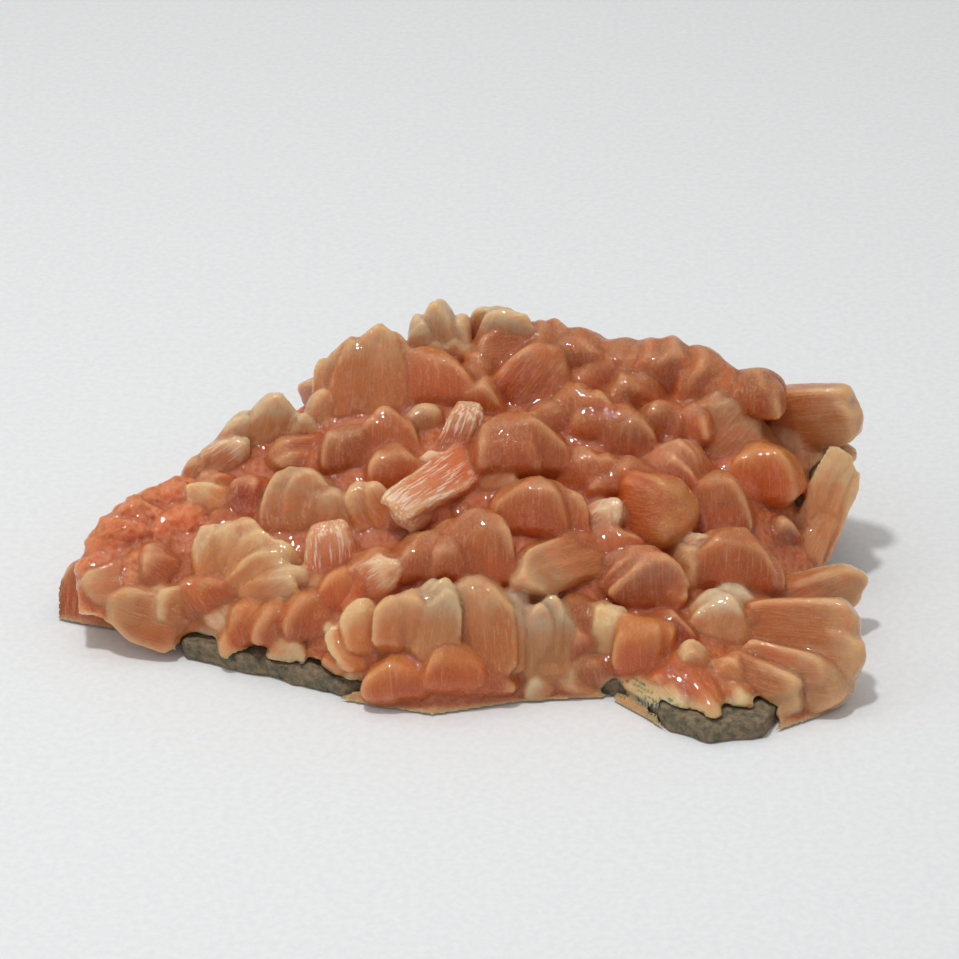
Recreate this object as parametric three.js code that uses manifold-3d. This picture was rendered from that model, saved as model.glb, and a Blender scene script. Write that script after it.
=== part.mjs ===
// Stilbite specimen: a crust of overgrown blades on a thin slab of matrix rock.
// Millimetres, +Z up. The origin is on the flat underside of the rock, in the middle of the specimen.
// The front, the long low side of the crust, faces -Y, and +X is to the right.

import * as THREE from 'three';
import { mergeVertices } from 'three/addons/utils/BufferGeometryUtils.js';
import Module from 'manifold-3d';

const wasm = await Module();
wasm.setup();

// Driving dimensions

const CLEARANCE = 0.3;          // between the crystals and the rock
const CRUST_UNDERSIDE = 0.4;    // the crystals stop this far above the rest face
const BLADE_SIDES = [[7.5, 6], [4.4, 5], [0, 4]];    // from each width up, the sides of a blade's section
const FOOT_DEPTH = 3;           // how far a blade's foot lies inside the crust
const SKIRT_SLOPE = 1.2;        // how fast the crust's surface is taken to fall away past its edge
const FULLNESS = 1.15;          // blades are this much wider than shows between their neighbours
const FINEST_EDGE = 0.1;        // slivers of the joins smaller than this are evened out
const ROOM = 300;               // a box this wide holds everything

// A blade's shape: its shares of width and thickness at the foot, at the shoulder and at the tip,
// where each has a least share and what full bluntness adds
const FOOT = { wide: 0.7, thick: 0.8 };
const SHOULDER = { along: 0.72, wide: 0.97, thick: 1 };
const TIP = { wide: [0.25, 0.6], thick: [0.3, 0.35] };
const FLATNESS = 1.1;           // the section's points are spread this much across, up to its full width

// Places are read off one view of the specimen: from the front, 30 degrees down.
// Each reading is in real millimetres across and up a plane square to the view, through VIEW_CENTRE.
const VIEW_TILT = THREE.MathUtils.degToRad(30);
const VIEW_CENTRE = new THREE.Vector3(0, -2, 15);
const VIEW_MIDDLE = [1.5, 41.5];    // the reading that the eye looks straight at
const EYE_DISTANCE = 600;
const FRONT_FOOT = -40;             // the depth of the foremost point of the rest face
const DEPTHS = { from: -50, to: 45, step: 0.25 };   // where a sight line is followed

// The crust under the blade tips, as sections from its left end to its right.
// x is where the section stands, under is the height of its underside, and each pair of its profile is
// depth and height, from the front lip to the back lip. The left end is clear of the ground.
const SECTIONS = [
  { x: -63, under: 7, profile: [[-12, 7.5], [-11, 9], [-8, 11], [-5, 12], [-2, 11], [2, 9], [5, 7.5]] },
  { x: -54, under: 6, profile: [[-13, 7], [-11, 10], [-6, 14], [0, 16], [6, 17], [12, 12], [17, 7]] },
  { x: -44, under: 0.4, profile: [[-15, 2], [-12, 8], [-6, 14], [1, 17], [10, 20], [18, 14], [24, 4]] },
  { x: -32, under: 0.4, profile: [[-20, 2], [-16, 9], [-8, 15], [3, 20.5], [18, 25.5], [27, 18], [33, 4]] },
  { x: -20, under: 0.4, profile: [[-26, 2], [-22, 10], [-12, 17], [3, 23.5], [24, 30], [33, 22], [39, 5]] },
  { x: -6, under: 0.4, profile: [[-31, 1], [-27, 11], [-16, 18], [3, 25.5], [28, 32.5], [37, 23], [42, 6]] },
  { x: 9, under: 0.4, profile: [[-27, 1], [-23, 11], [-13, 18], [4, 25], [28, 32], [37, 23], [43, 6]] },
  { x: 22, under: 0.4, profile: [[-25, 2], [-21, 8], [-11, 16], [4, 23.5], [26, 30.5], [35, 22], [42, 6]] },
  { x: 34, under: 0.4, profile: [[-38, 2], [-32, 6], [-16, 11], [0, 19.5], [24, 28.5], [32, 20], [39, 6]] },
  { x: 46, under: 0.4, profile: [[-36, 2], [-30, 5], [-18, 7], [-2, 14], [19, 25.5], [27, 18], [34, 5]] },
  { x: 56, under: 0.4, profile: [[-30, 2], [-25, 4], [-18, 4], [-4, 4], [11, 12], [21, 19], [28, 8]] },
];

// The blades that can be told apart from the front. Each row holds the reading of the tip (across, up),
// the reading of the foot, the width, the thickness, the roll of the broad face in degrees,
// how far the tip stands off the crust, how blunt the tip is from 0 to 1, and, where the tip hangs
// past the crust's edge, its depth.
const BLADES = {
  leftEnd: [
    [-64.5, 23.8, -51, 24, 5.6, 6, 0, 1, 0.4, -9],
    [-63, 31.5, -55, 26.5, 9, 6, 0, 2, 0.6],
    [-60.5, 34.5, -53.5, 28, 8, 6, 10, 2, 0.6],
    [-57.5, 38, -52, 30, 9, 6, 0, 2, 0.6],
    [-52.5, 41, -49, 33, 9, 6, 0, 2.5, 0.6],
    [-48, 42.5, -45.5, 35, 8, 5, 0, 2.5, 0.5],
    [-57, 28.5, -51, 25, 8, 5, 0, 2, 0.6],
    [-53.5, 30.5, -48.5, 25.5, 6, 3.5, 0, 3, 0.4],
    [-47.5, 38, -46, 30, 9, 5, 0, 3, 0.6],
    [-53, 20.5, -45, 20, 6.5, 5, 0, 1, 0.9, -14],
    [-39, 15.5, -44, 24, 5.5, 3, 0, 3, 0.5],
  ],
  creamSheaf: [
    [-42.5, 34.7, -40.5, 22, 7, 3.5, 0, 4.5, 0.5],
    [-38, 35.6, -39.5, 22, 7, 3.5, 0, 5.2, 0.5],
    [-33.5, 34, -38, 21.5, 7.5, 3.5, 0, 5.5, 0.5],
    [-29.8, 30.8, -37, 21, 7.5, 3.5, 0, 5.5, 0.5],
    [-27.2, 26.5, -35.5, 19.5, 7, 3.5, 0, 4.5, 0.5],
  ],
  leftShoulder: [
    [-46, 41, -37.5, 34.5, 5, 3, 0, 4, 0.4],
    [-44, 42.5, -38.5, 37, 5, 3, 10, 3, 0.5],
    [-35.5, 42.5, -35.5, 34, 4.5, 5, 40, 3, 0.7],
    [-42.5, 46.3, -44, 40.5, 4.5, 3, 0, 4, 0.3],
    [-36, 48, -43, 43, 5, 3, 0, 4, 0.4],
    [-31.6, 56.4, -34.5, 45, 6.5, 4, 10, 9, 0.25],
    [-36.5, 52.6, -38, 45.5, 5.5, 3, 0, 6, 0.3],
    [-40.5, 48.2, -40, 43.5, 5, 3, 0, 5, 0.3],
    [-27.5, 53, -27.5, 46, 4, 2.5, 0, 5, 0.3],
    [-23.7, 56.5, -24.5, 46.5, 4.8, 3, 0, 5, 0.4],
    [-33.5, 45.3, -22.5, 45, 4.5, 4, 20, 3, 0.6],
    [-29.5, 43.5, -27, 31, 11, 5, 0, 4.5, 0.6],
    [-22.5, 40.5, -22, 31, 6, 4.5, -20, 4, 0.5],
    [-19.5, 41.3, -14, 31.5, 5, 4, 10, 5, 0.5],
    [-23, 48.5, -22, 41, 6.5, 4, 0, 3.5, 0.5],
  ],
  leftFront: [
    [-23.6, 34.8, -23, 24.5, 7, 5, -15, 6.5, 0.8],
    [-11.9, 28.5, -21, 21.5, 5.5, 3.5, 0, 6, 0.5],
    [-19.2, 22, -16.5, 13.5, 7, 4, 0, 5, 0.6],
    [-23.6, 17.8, -16.5, 12, 7, 3, 10, 4.5, 0.4],
    [-15.5, 31, -16, 21.5, 6.5, 4, 0, 4, 0.5],
    [-36.7, 22, -34, 14.5, 8, 4, 0, 4, 0.6],
    [-31, 22.2, -30, 15, 8, 4, 0, 4, 0.6],
    [-25.8, 24, -27, 15, 6.5, 4, 20, 4, 0.5],
    [-27.7, 16, -30, 10.5, 5.5, 3.5, 0, 3, 0.5],
    [-39.5, 18.5, -37, 13, 6, 4, 0, 3, 0.6],
    [-21, 27.5, -20, 19, 7, 4, -15, 3, 0.5],
    [-47, 26, -42, 19, 7, 4, 0, 2.5, 0.5],
  ],
  bigPeak: [
    [-15.2, 67.5, -16, 49.5, 9.5, 5, 0, 9, 0.2],
    [-19, 65, -19.5, 49.5, 7, 4, -10, 8, 0.3],
    [-21.6, 62.4, -21.2, 50, 5, 3.5, -20, 7, 0.4],
    [-11.4, 64, -12.5, 50, 6, 4, 15, 7, 0.4],
    [-18.7, 51, -18.3, 41.5, 8, 5, 0, 4.5, 0.5],
    [-13.9, 54, -13.4, 42, 5.5, 4, 0, 5, 0.5],
  ],
  backRow: [
    [-4.9, 71.2, -5.3, 60, 4.5, 4, 0, 9, 0.25],
    [-8.2, 68.8, -8.3, 60, 3.6, 4, 10, 8, 0.35],
    [-1.6, 68.8, -2.2, 60, 3.4, 4, -10, 8, 0.35],
    [5.4, 70, 4.9, 60, 8.5, 4, 0, 9, 0.85],
    [9.6, 67.2, 9.8, 60, 4, 4, 0, 7, 0.5],
    [12.6, 67.4, 12.2, 59, 6, 6, 20, 6, 0.4],
    [17.2, 66.2, 18.5, 57, 7, 6, 0, 6, 0.4],
    [22.2, 64.3, 23.5, 57, 7, 6, -20, 6, 0.5],
    [27, 63.5, 27, 57, 6, 6, 10, 5, 0.5],
    [30.2, 63.2, 29.5, 56.5, 5, 5, 0, 5, 0.5],
    [33.3, 64.6, 32.4, 54, 8.5, 6, 0, 7, 0.3],
    [38, 62.8, 37.5, 53, 7, 6, 15, 6, 0.4],
    [42.2, 60, 41, 52, 6.5, 6, 0, 6, 0.5],
    [46.8, 60, 46.5, 52, 7, 6, -10, 7, 0.55],
    [51.2, 56.5, 50.5, 51, 4.5, 4, 0, 5, 0.3],
  ],
  upperSlope: [
    [-5.7, 63.5, -5.2, 51, 11, 6, 0, 5.5, 0.6],
    [-3.3, 65, -3.3, 58, 5, 3.5, 0, 6, 0.4],
    [-0.5, 62, 12.5, 62.5, 5, 4.5, 10, 4, 0.5],
    [-1, 58.8, 8.5, 59, 4.5, 4, 10, 4, 0.5],
    [2.4, 58.6, 2.4, 50, 5, 4, 0, 5.5, 0.35],
    [15.3, 63, 7, 51.5, 8.5, 5, 0, 6, 0.35],
    [20, 62.5, 22.5, 54, 9, 4.5, 0, 5.5, 0.5],
    [17.2, 57.7, 18.3, 46.5, 7, 5, 0, 5, 0.5],
    [24.1, 59.2, 26.5, 51, 8.5, 5, 10, 6, 0.35],
    [35.5, 56, 35, 46, 6, 5, -20, 4, 0.5],
    [41.5, 54.5, 40.5, 46, 7, 5, 0, 4, 0.5],
    [26.4, 53, 25.5, 43.5, 6.8, 5, 0, 5.5, 0.4],
    [31, 54.5, 31.3, 45.5, 5.5, 4, 10, 5, 0.7],
    [20.9, 54.6, 21.2, 46, 9, 6, 0, 4.5, 0.6],
    [8.5, 52.8, 8.2, 39.5, 12.5, 8, 0, 6.5, 0.6],
    [12, 54.5, 12.5, 47, 7, 4, 0, 4, 0.5],
  ],
  middleSlope: [
    [0.2, 54.2, -3, 44, 5.2, 3.5, -20, 6.5, 0.85],
    [-7.8, 53.8, -7.3, 47, 4.5, 3.5, 0, 4, 0.7],
    [-6, 46.4, -5.5, 41, 4, 3, 0, 3, 0.6],
    [-13, 35.4, 1.5, 43.6, 6, 5, 15, 6.5, 0.95],
    [4.4, 44.4, 4.6, 36.5, 4.6, 4, 0, 4, 0.5],
    [9.8, 42.4, 10.1, 30, 9.5, 6, 0, 6, 0.55],
    [14, 41.9, 13.4, 30, 5.5, 4, 0, 5, 0.5],
    [16.6, 38.8, 16.3, 31, 2.2, 2.2, 0, 5, 0.4],
    [0.5, 37.2, 0.7, 23, 8.5, 6, 0, 7.5, 0.55],
    [6.8, 25.2, 21.2, 29.8, 7, 5, 10, 6.5, 0.5],
    [24.5, 37.8, 17.8, 31.2, 5, 3.5, 0, 5.5, 0.4],
    [36, 35.6, 24.5, 37.3, 8, 7, 0, 7.5, 0.6],
    [27.7, 30.6, 27.7, 21, 11.5, 6, 0, 6, 0.6],
    [40, 43.2, 40.4, 30, 8, 6, 0, 6, 0.55],
    [38.3, 32.3, 32.3, 28.2, 3.2, 2.2, 20, 6.5, 0.5],
    [33, 48, 33.4, 37.5, 9, 6, 0, 5.5, 0.5],
    [18.7, 47.2, 19.6, 38, 8, 5, 0, 4.5, 0.5],
    [25.3, 45.8, 25.3, 37.5, 8, 6, 0, 4.5, 0.5],
    [-7.3, 33.5, -6.8, 24, 8, 6, 0, 5, 0.5],
    [-8, 40, -7, 31.5, 8, 5, 0, 2.5, 0.5],
    [43.2, 33.8, 42, 21, 12.5, 8, 0, 6.5, 0.6],
    [21, 35, 21.5, 27, 8, 5, 0, 3, 0.5],
    [-11.5, 47.5, -11, 39, 7, 5, 10, 3.5, 0.5],
    [32.5, 41, 31, 33, 7, 5, 0, 3.5, 0.5],
    [13, 48, 14, 41, 6, 5, 0, 3.5, 0.5],
  ],
  rightLobe: [
    [46.8, 53.8, 36.5, 43.5, 11, 6, 0, 5, 0.55],
    [64, 52, 48, 50.2, 6.8, 6, 10, 6, 0.6, 18],
    [47.4, 48, 48, 35.5, 9, 6, 0, 6, 0.6],
    [51.8, 50, 53, 37, 5, 4, 10, 4, 0.6],
    [56.4, 48, 54.6, 38.5, 6, 4, 0, 4, 0.5],
    [60, 47.4, 54, 30, 4, 3, 0, 4, 0.5, 15],
    [61.7, 46.3, 54.5, 29, 4, 3, 0, 4, 0.5, 14.5],
    [62.6, 43.6, 54.5, 28, 4, 3, 0, 4, 0.5, 14],
    [60.8, 41.4, 54, 27, 4, 3, 0, 4, 0.5, 13],
    [63.2, 46, 57, 45, 3.6, 3, 0, 3, 0.6, 19],
    [49.7, 35, 52, 30, 4, 3, 0, 3, 0.5],
  ],
  lowerRight: [
    [65, 26.5, 47, 18.5, 5.5, 4, 10, 5, 0.35, -5],
    [64.6, 11.8, 44, 13.5, 11, 5.5, 0, 4, 0.6, -28],
    [60, 16.6, 43, 14.5, 8, 5, 0, 4, 0.45, -23],
    [61.6, 7.5, 43, 9, 7.5, 5, 0, 3, 0.5, -31],
    [54.5, 5.2, 41, 9, 6, 4, 0, 2, 0.5, -33.5],
    [41.1, 24.4, 41.1, 14, 11, 7, 0, 5, 0.55],
    [35.9, 25.4, 29.3, 18.5, 2.4, 2, 0, 5, 0.3],
    [34, 24.8, 28.3, 18.3, 2.4, 2, 0, 4.5, 0.3],
    [23, 20.2, 21.6, 11.5, 5, 4.5, 0, 7, 1],
    [27.8, 19.4, 27.6, 9, 7, 5.5, 0, 6, 1],
    [16.7, 17.5, 18.7, 12.5, 4.2, 3, 0, 4, 0.3],
    [33, 20.5, 33, 13, 7, 5, 0, 3.5, 0.5],
    [50, 22, 45, 15, 7, 5, 0, 3, 0.5],
    [36, 15.4, 37.5, 8, 5, 3, 0, 4.5, 0.4],
    [47.2, 3.8, 34, 10.2, 4.5, 3.5, 0, 1.5, 0.4, -35],
    [41.6, 1.6, 30, 10.5, 4.5, 3.5, 0, 1.5, 0.4, -38.5],
    [36, 2.4, 27.5, 10.8, 4.5, 3.5, 0, 1.5, 0.4, -37.5],
  ],
  lowerFront: [
    [12.8, 24.4, 10.6, 8.5, 5, 4, 0, 5, 0.4],
    [9.8, 22, 9.8, 8.5, 4.5, 4, 0, 4.5, 0.3],
    [15, 21.8, 12.5, 9, 4.5, 4, 0, 4.5, 0.4],
    [17.2, 23, 17.2, 13, 8, 5, 0, 3, 0.5],
    [13.9, 11, 21, 9.5, 5, 4, 0, 3.5, 0.5],
    [17.2, 13.2, 18.8, 7.5, 7, 4, 0, 3, 0.6],
    [9.4, 9.8, 12.5, 7, 4.6, 4, 0, 2.5, 0.7],
    [-4.9, 26, -7, 11.5, 6.5, 4.5, 0, 6, 0.4],
    [0.9, 26, 2, 7.5, 10, 6, 0, 5, 0.55],
    [-10.1, 23.7, -10.6, 13, 7, 5, 0, 5, 0.5],
    [5.7, 24, 6.6, 9.5, 5.5, 5, 0, 4.5, 0.5],
    [-12.2, 12, -11.4, 4.5, 9, 6, 0, 3.5, 0.7],
    [-3.3, 14, -2.6, 6, 9, 6, 0, 3, 0.7],
    [4, 12, 4, 6, 7, 5, 0, 2.5, 0.7],
  ],
};

// The matrix rock: its rim as plan points with the height of the rock there, turning from the left end
// along the front to the right and back round behind
const ROCK_RIM = [
  [-50, -4, 4], [-46, -15.5, 3], [-36, -19.8, 3.2], [-29, -22.5, 3.4], [-20, -26.5, 3], [-10, -27, 1.5],
  [4, -24, 1.5], [12, -22, 2.5], [20, -25, 3], [26, -28.5, 3.4], [31, -36, 3.6], [37, -39.6, 3],
  [46, -38, 2.8], [50, -31, 2.8], [50, -12, 2.6], [54, 4, 6], [58, 15, 11], [56, 26, 9],
  [46, 32, 6], [30, 38, 6], [9, 43, 6], [-10, 42, 6], [-24, 35, 5], [-36, 26, 4.5], [-47, 12, 4],
];
const ROCK_TOP = { centre: [10, 5], share: 0.6, height: 5 };

// Broken lumps of the same rock, as centre and half size. Their flat faces lie deeper than their corners,
// so a lump grows by this much more for the same gap.
const LUMP_GROWTH = 1.3;
const ROCK_LUMPS = [
  { centre: [55, 15, 7], half: [7, 8, 9] },
  { centre: [60.5, 16, 14.5], half: [4.5, 5, 5] },
  { centre: [-12, 36, 4.5], half: [10, 7, 5.5] },
  { centre: [26, 35, 4.5], half: [11, 6, 5.5] },
  { centre: [-41, -10, 2.5], half: [6, 4.5, 3] },
];

// Blades of the back, which the front view doesn't show, stand in rows between the ridge and the back lip
// of the crust's profile. Each leans outward, up by rise, and towards the nearer end by splay per millimetre.
const BACK = {
  seed: 41, ends: [-60, 56], across: 11, rows: [4.2, 4.7, 5.2, 5.7], jitter: 0.7,
  width: [8, 12], thickness: [5, 8], length: [12, 16], stand: [3.5, 7], blunt: [0.3, 0.7],
  rise: 0.5, splay: 0.008, roll: 160,
};

// Helpers

function randomFrom(seed) {
  let state = seed;
  return () => {
    state = (state * 1664525 + 1013904223) % 4294967296;
    return state / 4294967296;
  };
}

function between([low, high], share) {
  return low + (high - low) * share;
}

function solidOf(geometry) {
  const bare = geometry.index ? geometry.toNonIndexed() : geometry.clone();
  bare.deleteAttribute('normal');
  bare.deleteAttribute('uv');
  const merged = mergeVertices(bare, 1e-4);
  return new wasm.Manifold(new wasm.Mesh({
    numProp: 3,
    vertProperties: new Float32Array(merged.attributes.position.array),
    triVerts: new Uint32Array(merged.index.array),
  }));
}

function geometryOf(solid) {
  const mesh = solid.getMesh();
  const geometry = new THREE.BufferGeometry();
  geometry.setAttribute('position', new THREE.BufferAttribute(new Float32Array(mesh.vertProperties), 3));
  geometry.setIndex(new THREE.BufferAttribute(new Uint32Array(mesh.triVerts), 1));
  geometry.computeVertexNormals();
  return geometry;
}

function joined(solids) {
  return solids.reduce((whole, solid) => whole.add(solid));
}

function largestBody(solid) {
  return solid.decompose().reduce((most, body) => (body.volume() > most.volume() ? body : most));
}

function reshape(geometry, place) {
  const position = geometry.attributes.position;
  const point = new THREE.Vector3();
  for (let i = 0; i < position.count; i += 1) {
    point.fromBufferAttribute(position, i);
    place(point);
    position.setXYZ(i, point.x, point.y, point.z);
  }
  return geometry;
}

// The crust's surface

function profileAt(x) {
  const last = SECTIONS.length - 1;
  const clamped = THREE.MathUtils.clamp(x, SECTIONS[0].x, SECTIONS[last].x);
  let i = 0;
  while (i < last - 1 && SECTIONS[i + 1].x < clamped) {
    i += 1;
  }
  const share = (clamped - SECTIONS[i].x) / (SECTIONS[i + 1].x - SECTIONS[i].x);
  return SECTIONS[i].profile.map(([y, z], k) => {
    const [nextY, nextZ] = SECTIONS[i + 1].profile[k];
    return [y + (nextY - y) * share, z + (nextZ - z) * share];
  });
}

function crustHeight(x, y) {
  const profile = profileAt(x);
  const last = profile.length - 1;
  const past = Math.max(SECTIONS[0].x - x, x - SECTIONS[SECTIONS.length - 1].x, 0);
  const fall = past * SKIRT_SLOPE;
  if (y <= profile[0][0]) {
    return profile[0][1] - (profile[0][0] - y) * SKIRT_SLOPE - fall;
  }
  if (y >= profile[last][0]) {
    return profile[last][1] - (y - profile[last][0]) * SKIRT_SLOPE - fall;
  }
  let k = 0;
  while (profile[k + 1][0] < y) {
    k += 1;
  }
  const share = (y - profile[k][0]) / (profile[k + 1][0] - profile[k][0]);
  return profile[k][1] + (profile[k + 1][1] - profile[k][1]) * share - fall;
}

// Sight lines

const viewAcross = new THREE.Vector3(1, 0, 0);
const viewUp = new THREE.Vector3(0, Math.sin(VIEW_TILT), Math.cos(VIEW_TILT));
const viewAhead = new THREE.Vector3(0, Math.cos(VIEW_TILT), -Math.sin(VIEW_TILT));
const groundFront = new THREE.Vector3(0, FRONT_FOOT, 0);
const readingZero = VIEW_CENTRE.clone()
  .addScaledVector(viewUp, groundFront.clone().sub(VIEW_CENTRE).dot(viewUp));

function readingPoint([across, up]) {
  return readingZero.clone().addScaledVector(viewAcross, across).addScaledVector(viewUp, up);
}

const eye = readingPoint(VIEW_MIDDLE).addScaledVector(viewAhead, -EYE_DISTANCE);

function sightPoint(reading, depth) {
  const ahead = readingPoint(reading).sub(eye);
  return eye.clone().addScaledVector(ahead, (depth - eye.y) / ahead.y);
}

// The nearest point of a sight line that lies the given height over the crust, or where it passes closest
function onCrust(reading, stand) {
  let closest = null;
  let closestGap = Infinity;
  for (let depth = DEPTHS.from; depth <= DEPTHS.to; depth += DEPTHS.step) {
    const point = sightPoint(reading, depth);
    const gap = point.z - crustHeight(point.x, point.y) - stand;
    if (gap <= 0) {
      return point;
    }
    if (gap < closestGap) {
      closestGap = gap;
      closest = point;
    }
  }
  return closest;
}

// Blades

function bladeStops(blunt) {
  const [wide, thick] = [TIP.wide, TIP.thick].map(([least, more]) => least + more * blunt);
  return [{ along: 0, ...FOOT }, SHOULDER, { along: 1, wide, thick }];
}

function bladeSolid({ foot, tip, width, thickness, roll, blunt }) {
  const stops = bladeStops(blunt);
  const axis = tip.clone().sub(foot);
  const length = axis.length();
  axis.normalize();
  const toEye = eye.clone().sub(foot);
  const face = toEye.addScaledVector(axis, -toEye.dot(axis)).normalize();
  face.applyAxisAngle(axis, THREE.MathUtils.degToRad(roll));
  const side = axis.clone().cross(face);
  const sides = BLADE_SIDES.find(([least]) => width >= least)[1];
  const geometry = new THREE.CylinderGeometry(1, 1, 1, sides, stops.length - 1);
  reshape(geometry, (point) => {
    const stop = stops[Math.round((point.y + 0.5) * (stops.length - 1))];
    const flat = Math.sign(point.x) * Math.min(1, Math.abs(point.x) * FLATNESS);
    const across = flat * stop.wide * width * FULLNESS / 2;
    const out = point.z * stop.thick * thickness / 2;
    point.copy(foot)
      .addScaledVector(side, across)
      .addScaledVector(axis, stop.along * length)
      .addScaledVector(face, out);
  });
  return solidOf(geometry);
}

function seenBlade([tipAcross, tipUp, footAcross, footUp, width, thickness, roll, stand, blunt, depth]) {
  const tipReading = [tipAcross, tipUp];
  const tip = depth === undefined ? onCrust(tipReading, stand) : sightPoint(tipReading, depth);
  const foot = onCrust([footAcross, footUp], -FOOT_DEPTH);
  return { foot, tip, width, thickness, roll, blunt };
}

// A point of the crust's surface, part of the way between two points of the profile, and its slope there
function profilePoint(x, stop) {
  const profile = profileAt(x);
  const k = Math.min(Math.floor(stop), profile.length - 2);
  const [y, z] = profile[k];
  const [nextY, nextZ] = profile[k + 1];
  return {
    point: new THREE.Vector3(x, y + (nextY - y) * (stop - k), z + (nextZ - z) * (stop - k)),
    outward: new THREE.Vector3(0, z - nextZ, nextY - y).normalize(),
  };
}

function backBlades() {
  const random = randomFrom(BACK.seed);
  const blades = [];
  BACK.rows.forEach((stop, row) => {
    for (let i = 0; i < BACK.across; i += 1) {
      const place = i + (row % 2) / 2 + 1 / 4 + (random() - 0.5) * BACK.jitter;
      const share = place / BACK.across;
      const x = between(BACK.ends, Math.min(share, 1));
      const { point, outward } = profilePoint(x, stop);
      const lean = outward.add(new THREE.Vector3(x * BACK.splay + random() - 0.5, 0, BACK.rise)).normalize();
      const width = between(BACK.width, random());
      const thickness = between(BACK.thickness, random());
      const length = between(BACK.length, random());
      const roll = (random() - 0.5) * BACK.roll;
      const tip = point.addScaledVector(lean, between(BACK.stand, random()));
      const foot = tip.clone().addScaledVector(lean, -length);
      blades.push({ foot, tip, width, thickness, roll, blunt: between(BACK.blunt, random()) });
    }
  });
  return blades;
}

// The two pieces

function crustBody() {
  const across = SECTIONS.length - 1;
  const around = SECTIONS[0].profile.length - 1;
  const geometry = new THREE.BoxGeometry(1, 1, 1, across, around, 1);
  return solidOf(reshape(geometry, (point) => {
    const section = SECTIONS[Math.round((point.x + 0.5) * across)];
    const [y, z] = section.profile[Math.round((point.y + 0.5) * around)];
    point.set(section.x, y, point.z > 0 ? z : section.under);
  }));
}

function rockSolid(grow) {
  const rings = 2;
  const geometry = new THREE.CylinderGeometry(1, 1, 1, ROCK_RIM.length, rings);
  const slab = solidOf(reshape(geometry, (point) => {
    const level = Math.round((point.y + 0.5) * rings);
    const [middleX, middleY] = ROCK_TOP.centre;
    const top = ROCK_TOP.height + grow;
    const onAxis = Math.hypot(point.x, point.z) < 1 / 2;
    if (onAxis) {
      point.set(middleX, middleY, level === 0 ? -grow : top);
      return;
    }
    const turn = Math.round((Math.atan2(point.x, point.z) / (2 * Math.PI)) * ROCK_RIM.length);
    const [x, y, height] = ROCK_RIM[(turn + ROCK_RIM.length) % ROCK_RIM.length];
    const outX = x - middleX;
    const outY = y - middleY;
    const reach = (1 + grow / Math.hypot(outX, outY)) * [1, 1, ROCK_TOP.share][level];
    point.set(middleX + outX * reach, middleY + outY * reach, [-grow, height + grow, top][level]);
  }));
  const lumps = ROCK_LUMPS.map(({ centre, half }) => {
    const lump = new THREE.IcosahedronGeometry(1, 0);
    lump.scale(...half.map((reach) => reach + grow * LUMP_GROWTH));
    lump.translate(...centre);
    return solidOf(lump);
  });
  return joined([slab, ...lumps]);
}

function everythingAbove(height) {
  const room = new THREE.BoxGeometry(ROOM, ROOM, ROOM);
  room.translate(0, 0, ROOM / 2 + height);
  return solidOf(room);
}

function crystalCluster() {
  const seen = Object.values(BLADES).flat().map(seenBlade);
  const blades = [...seen, ...backBlades()].map(bladeSolid);
  const grown = joined([crustBody(), ...blades])
    .asOriginal()
    .simplify(FINEST_EDGE)
    .intersect(everythingAbove(CRUST_UNDERSIDE));
  return largestBody(grown.subtract(rockSolid(CLEARANCE)));
}

function matrixRock() {
  return rockSolid(0).intersect(everythingAbove(0));
}

const stilbite = new THREE.MeshStandardMaterial({ color: 0xb0704c, roughness: 0.35, metalness: 0 });
const rock = new THREE.MeshStandardMaterial({ color: 0x6e5f4b, roughness: 0.9, metalness: 0 });

const cluster = new THREE.Mesh(geometryOf(crystalCluster()), stilbite);
cluster.name = 'stilbite_cluster';
const matrix = new THREE.Mesh(geometryOf(matrixRock()), rock);
matrix.name = 'matrix';

const specimen = new THREE.Group();
specimen.add(cluster, matrix);

export default specimen;
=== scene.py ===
import itertools
import math

import bpy
import numpy as np
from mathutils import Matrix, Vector


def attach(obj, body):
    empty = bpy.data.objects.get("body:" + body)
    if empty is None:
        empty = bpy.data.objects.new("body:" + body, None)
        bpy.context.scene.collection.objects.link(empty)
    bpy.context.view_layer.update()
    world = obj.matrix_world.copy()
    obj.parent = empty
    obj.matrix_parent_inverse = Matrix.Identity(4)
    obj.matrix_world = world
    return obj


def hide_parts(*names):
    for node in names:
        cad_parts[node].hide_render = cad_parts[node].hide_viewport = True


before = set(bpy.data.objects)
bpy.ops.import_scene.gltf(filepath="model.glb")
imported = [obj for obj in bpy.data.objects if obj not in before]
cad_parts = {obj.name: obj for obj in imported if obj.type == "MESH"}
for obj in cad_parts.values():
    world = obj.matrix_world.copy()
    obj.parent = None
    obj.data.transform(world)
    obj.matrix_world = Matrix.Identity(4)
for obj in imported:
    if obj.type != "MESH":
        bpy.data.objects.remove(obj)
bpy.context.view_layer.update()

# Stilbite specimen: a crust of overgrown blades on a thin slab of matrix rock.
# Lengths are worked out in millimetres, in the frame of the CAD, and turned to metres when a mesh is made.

METRES = 0.001

# Driving dimensions, the same as in the CAD

CLEARANCE = 0.3
CRUST_UNDERSIDE = 0.4
FOOT_DEPTH = 3.0
SKIRT_SLOPE = 1.2
FULLNESS = 1.15

VIEW_TILT = math.radians(30)
VIEW_CENTRE = np.array([0.0, -2.0, 15.0])
VIEW_MIDDLE = (1.5, 41.5)
EYE_DISTANCE = 600.0
FRONT_FOOT = -40.0
VIEW_WIDTH = 156.3    # what the photo's frame takes in at the reading plane

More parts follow.
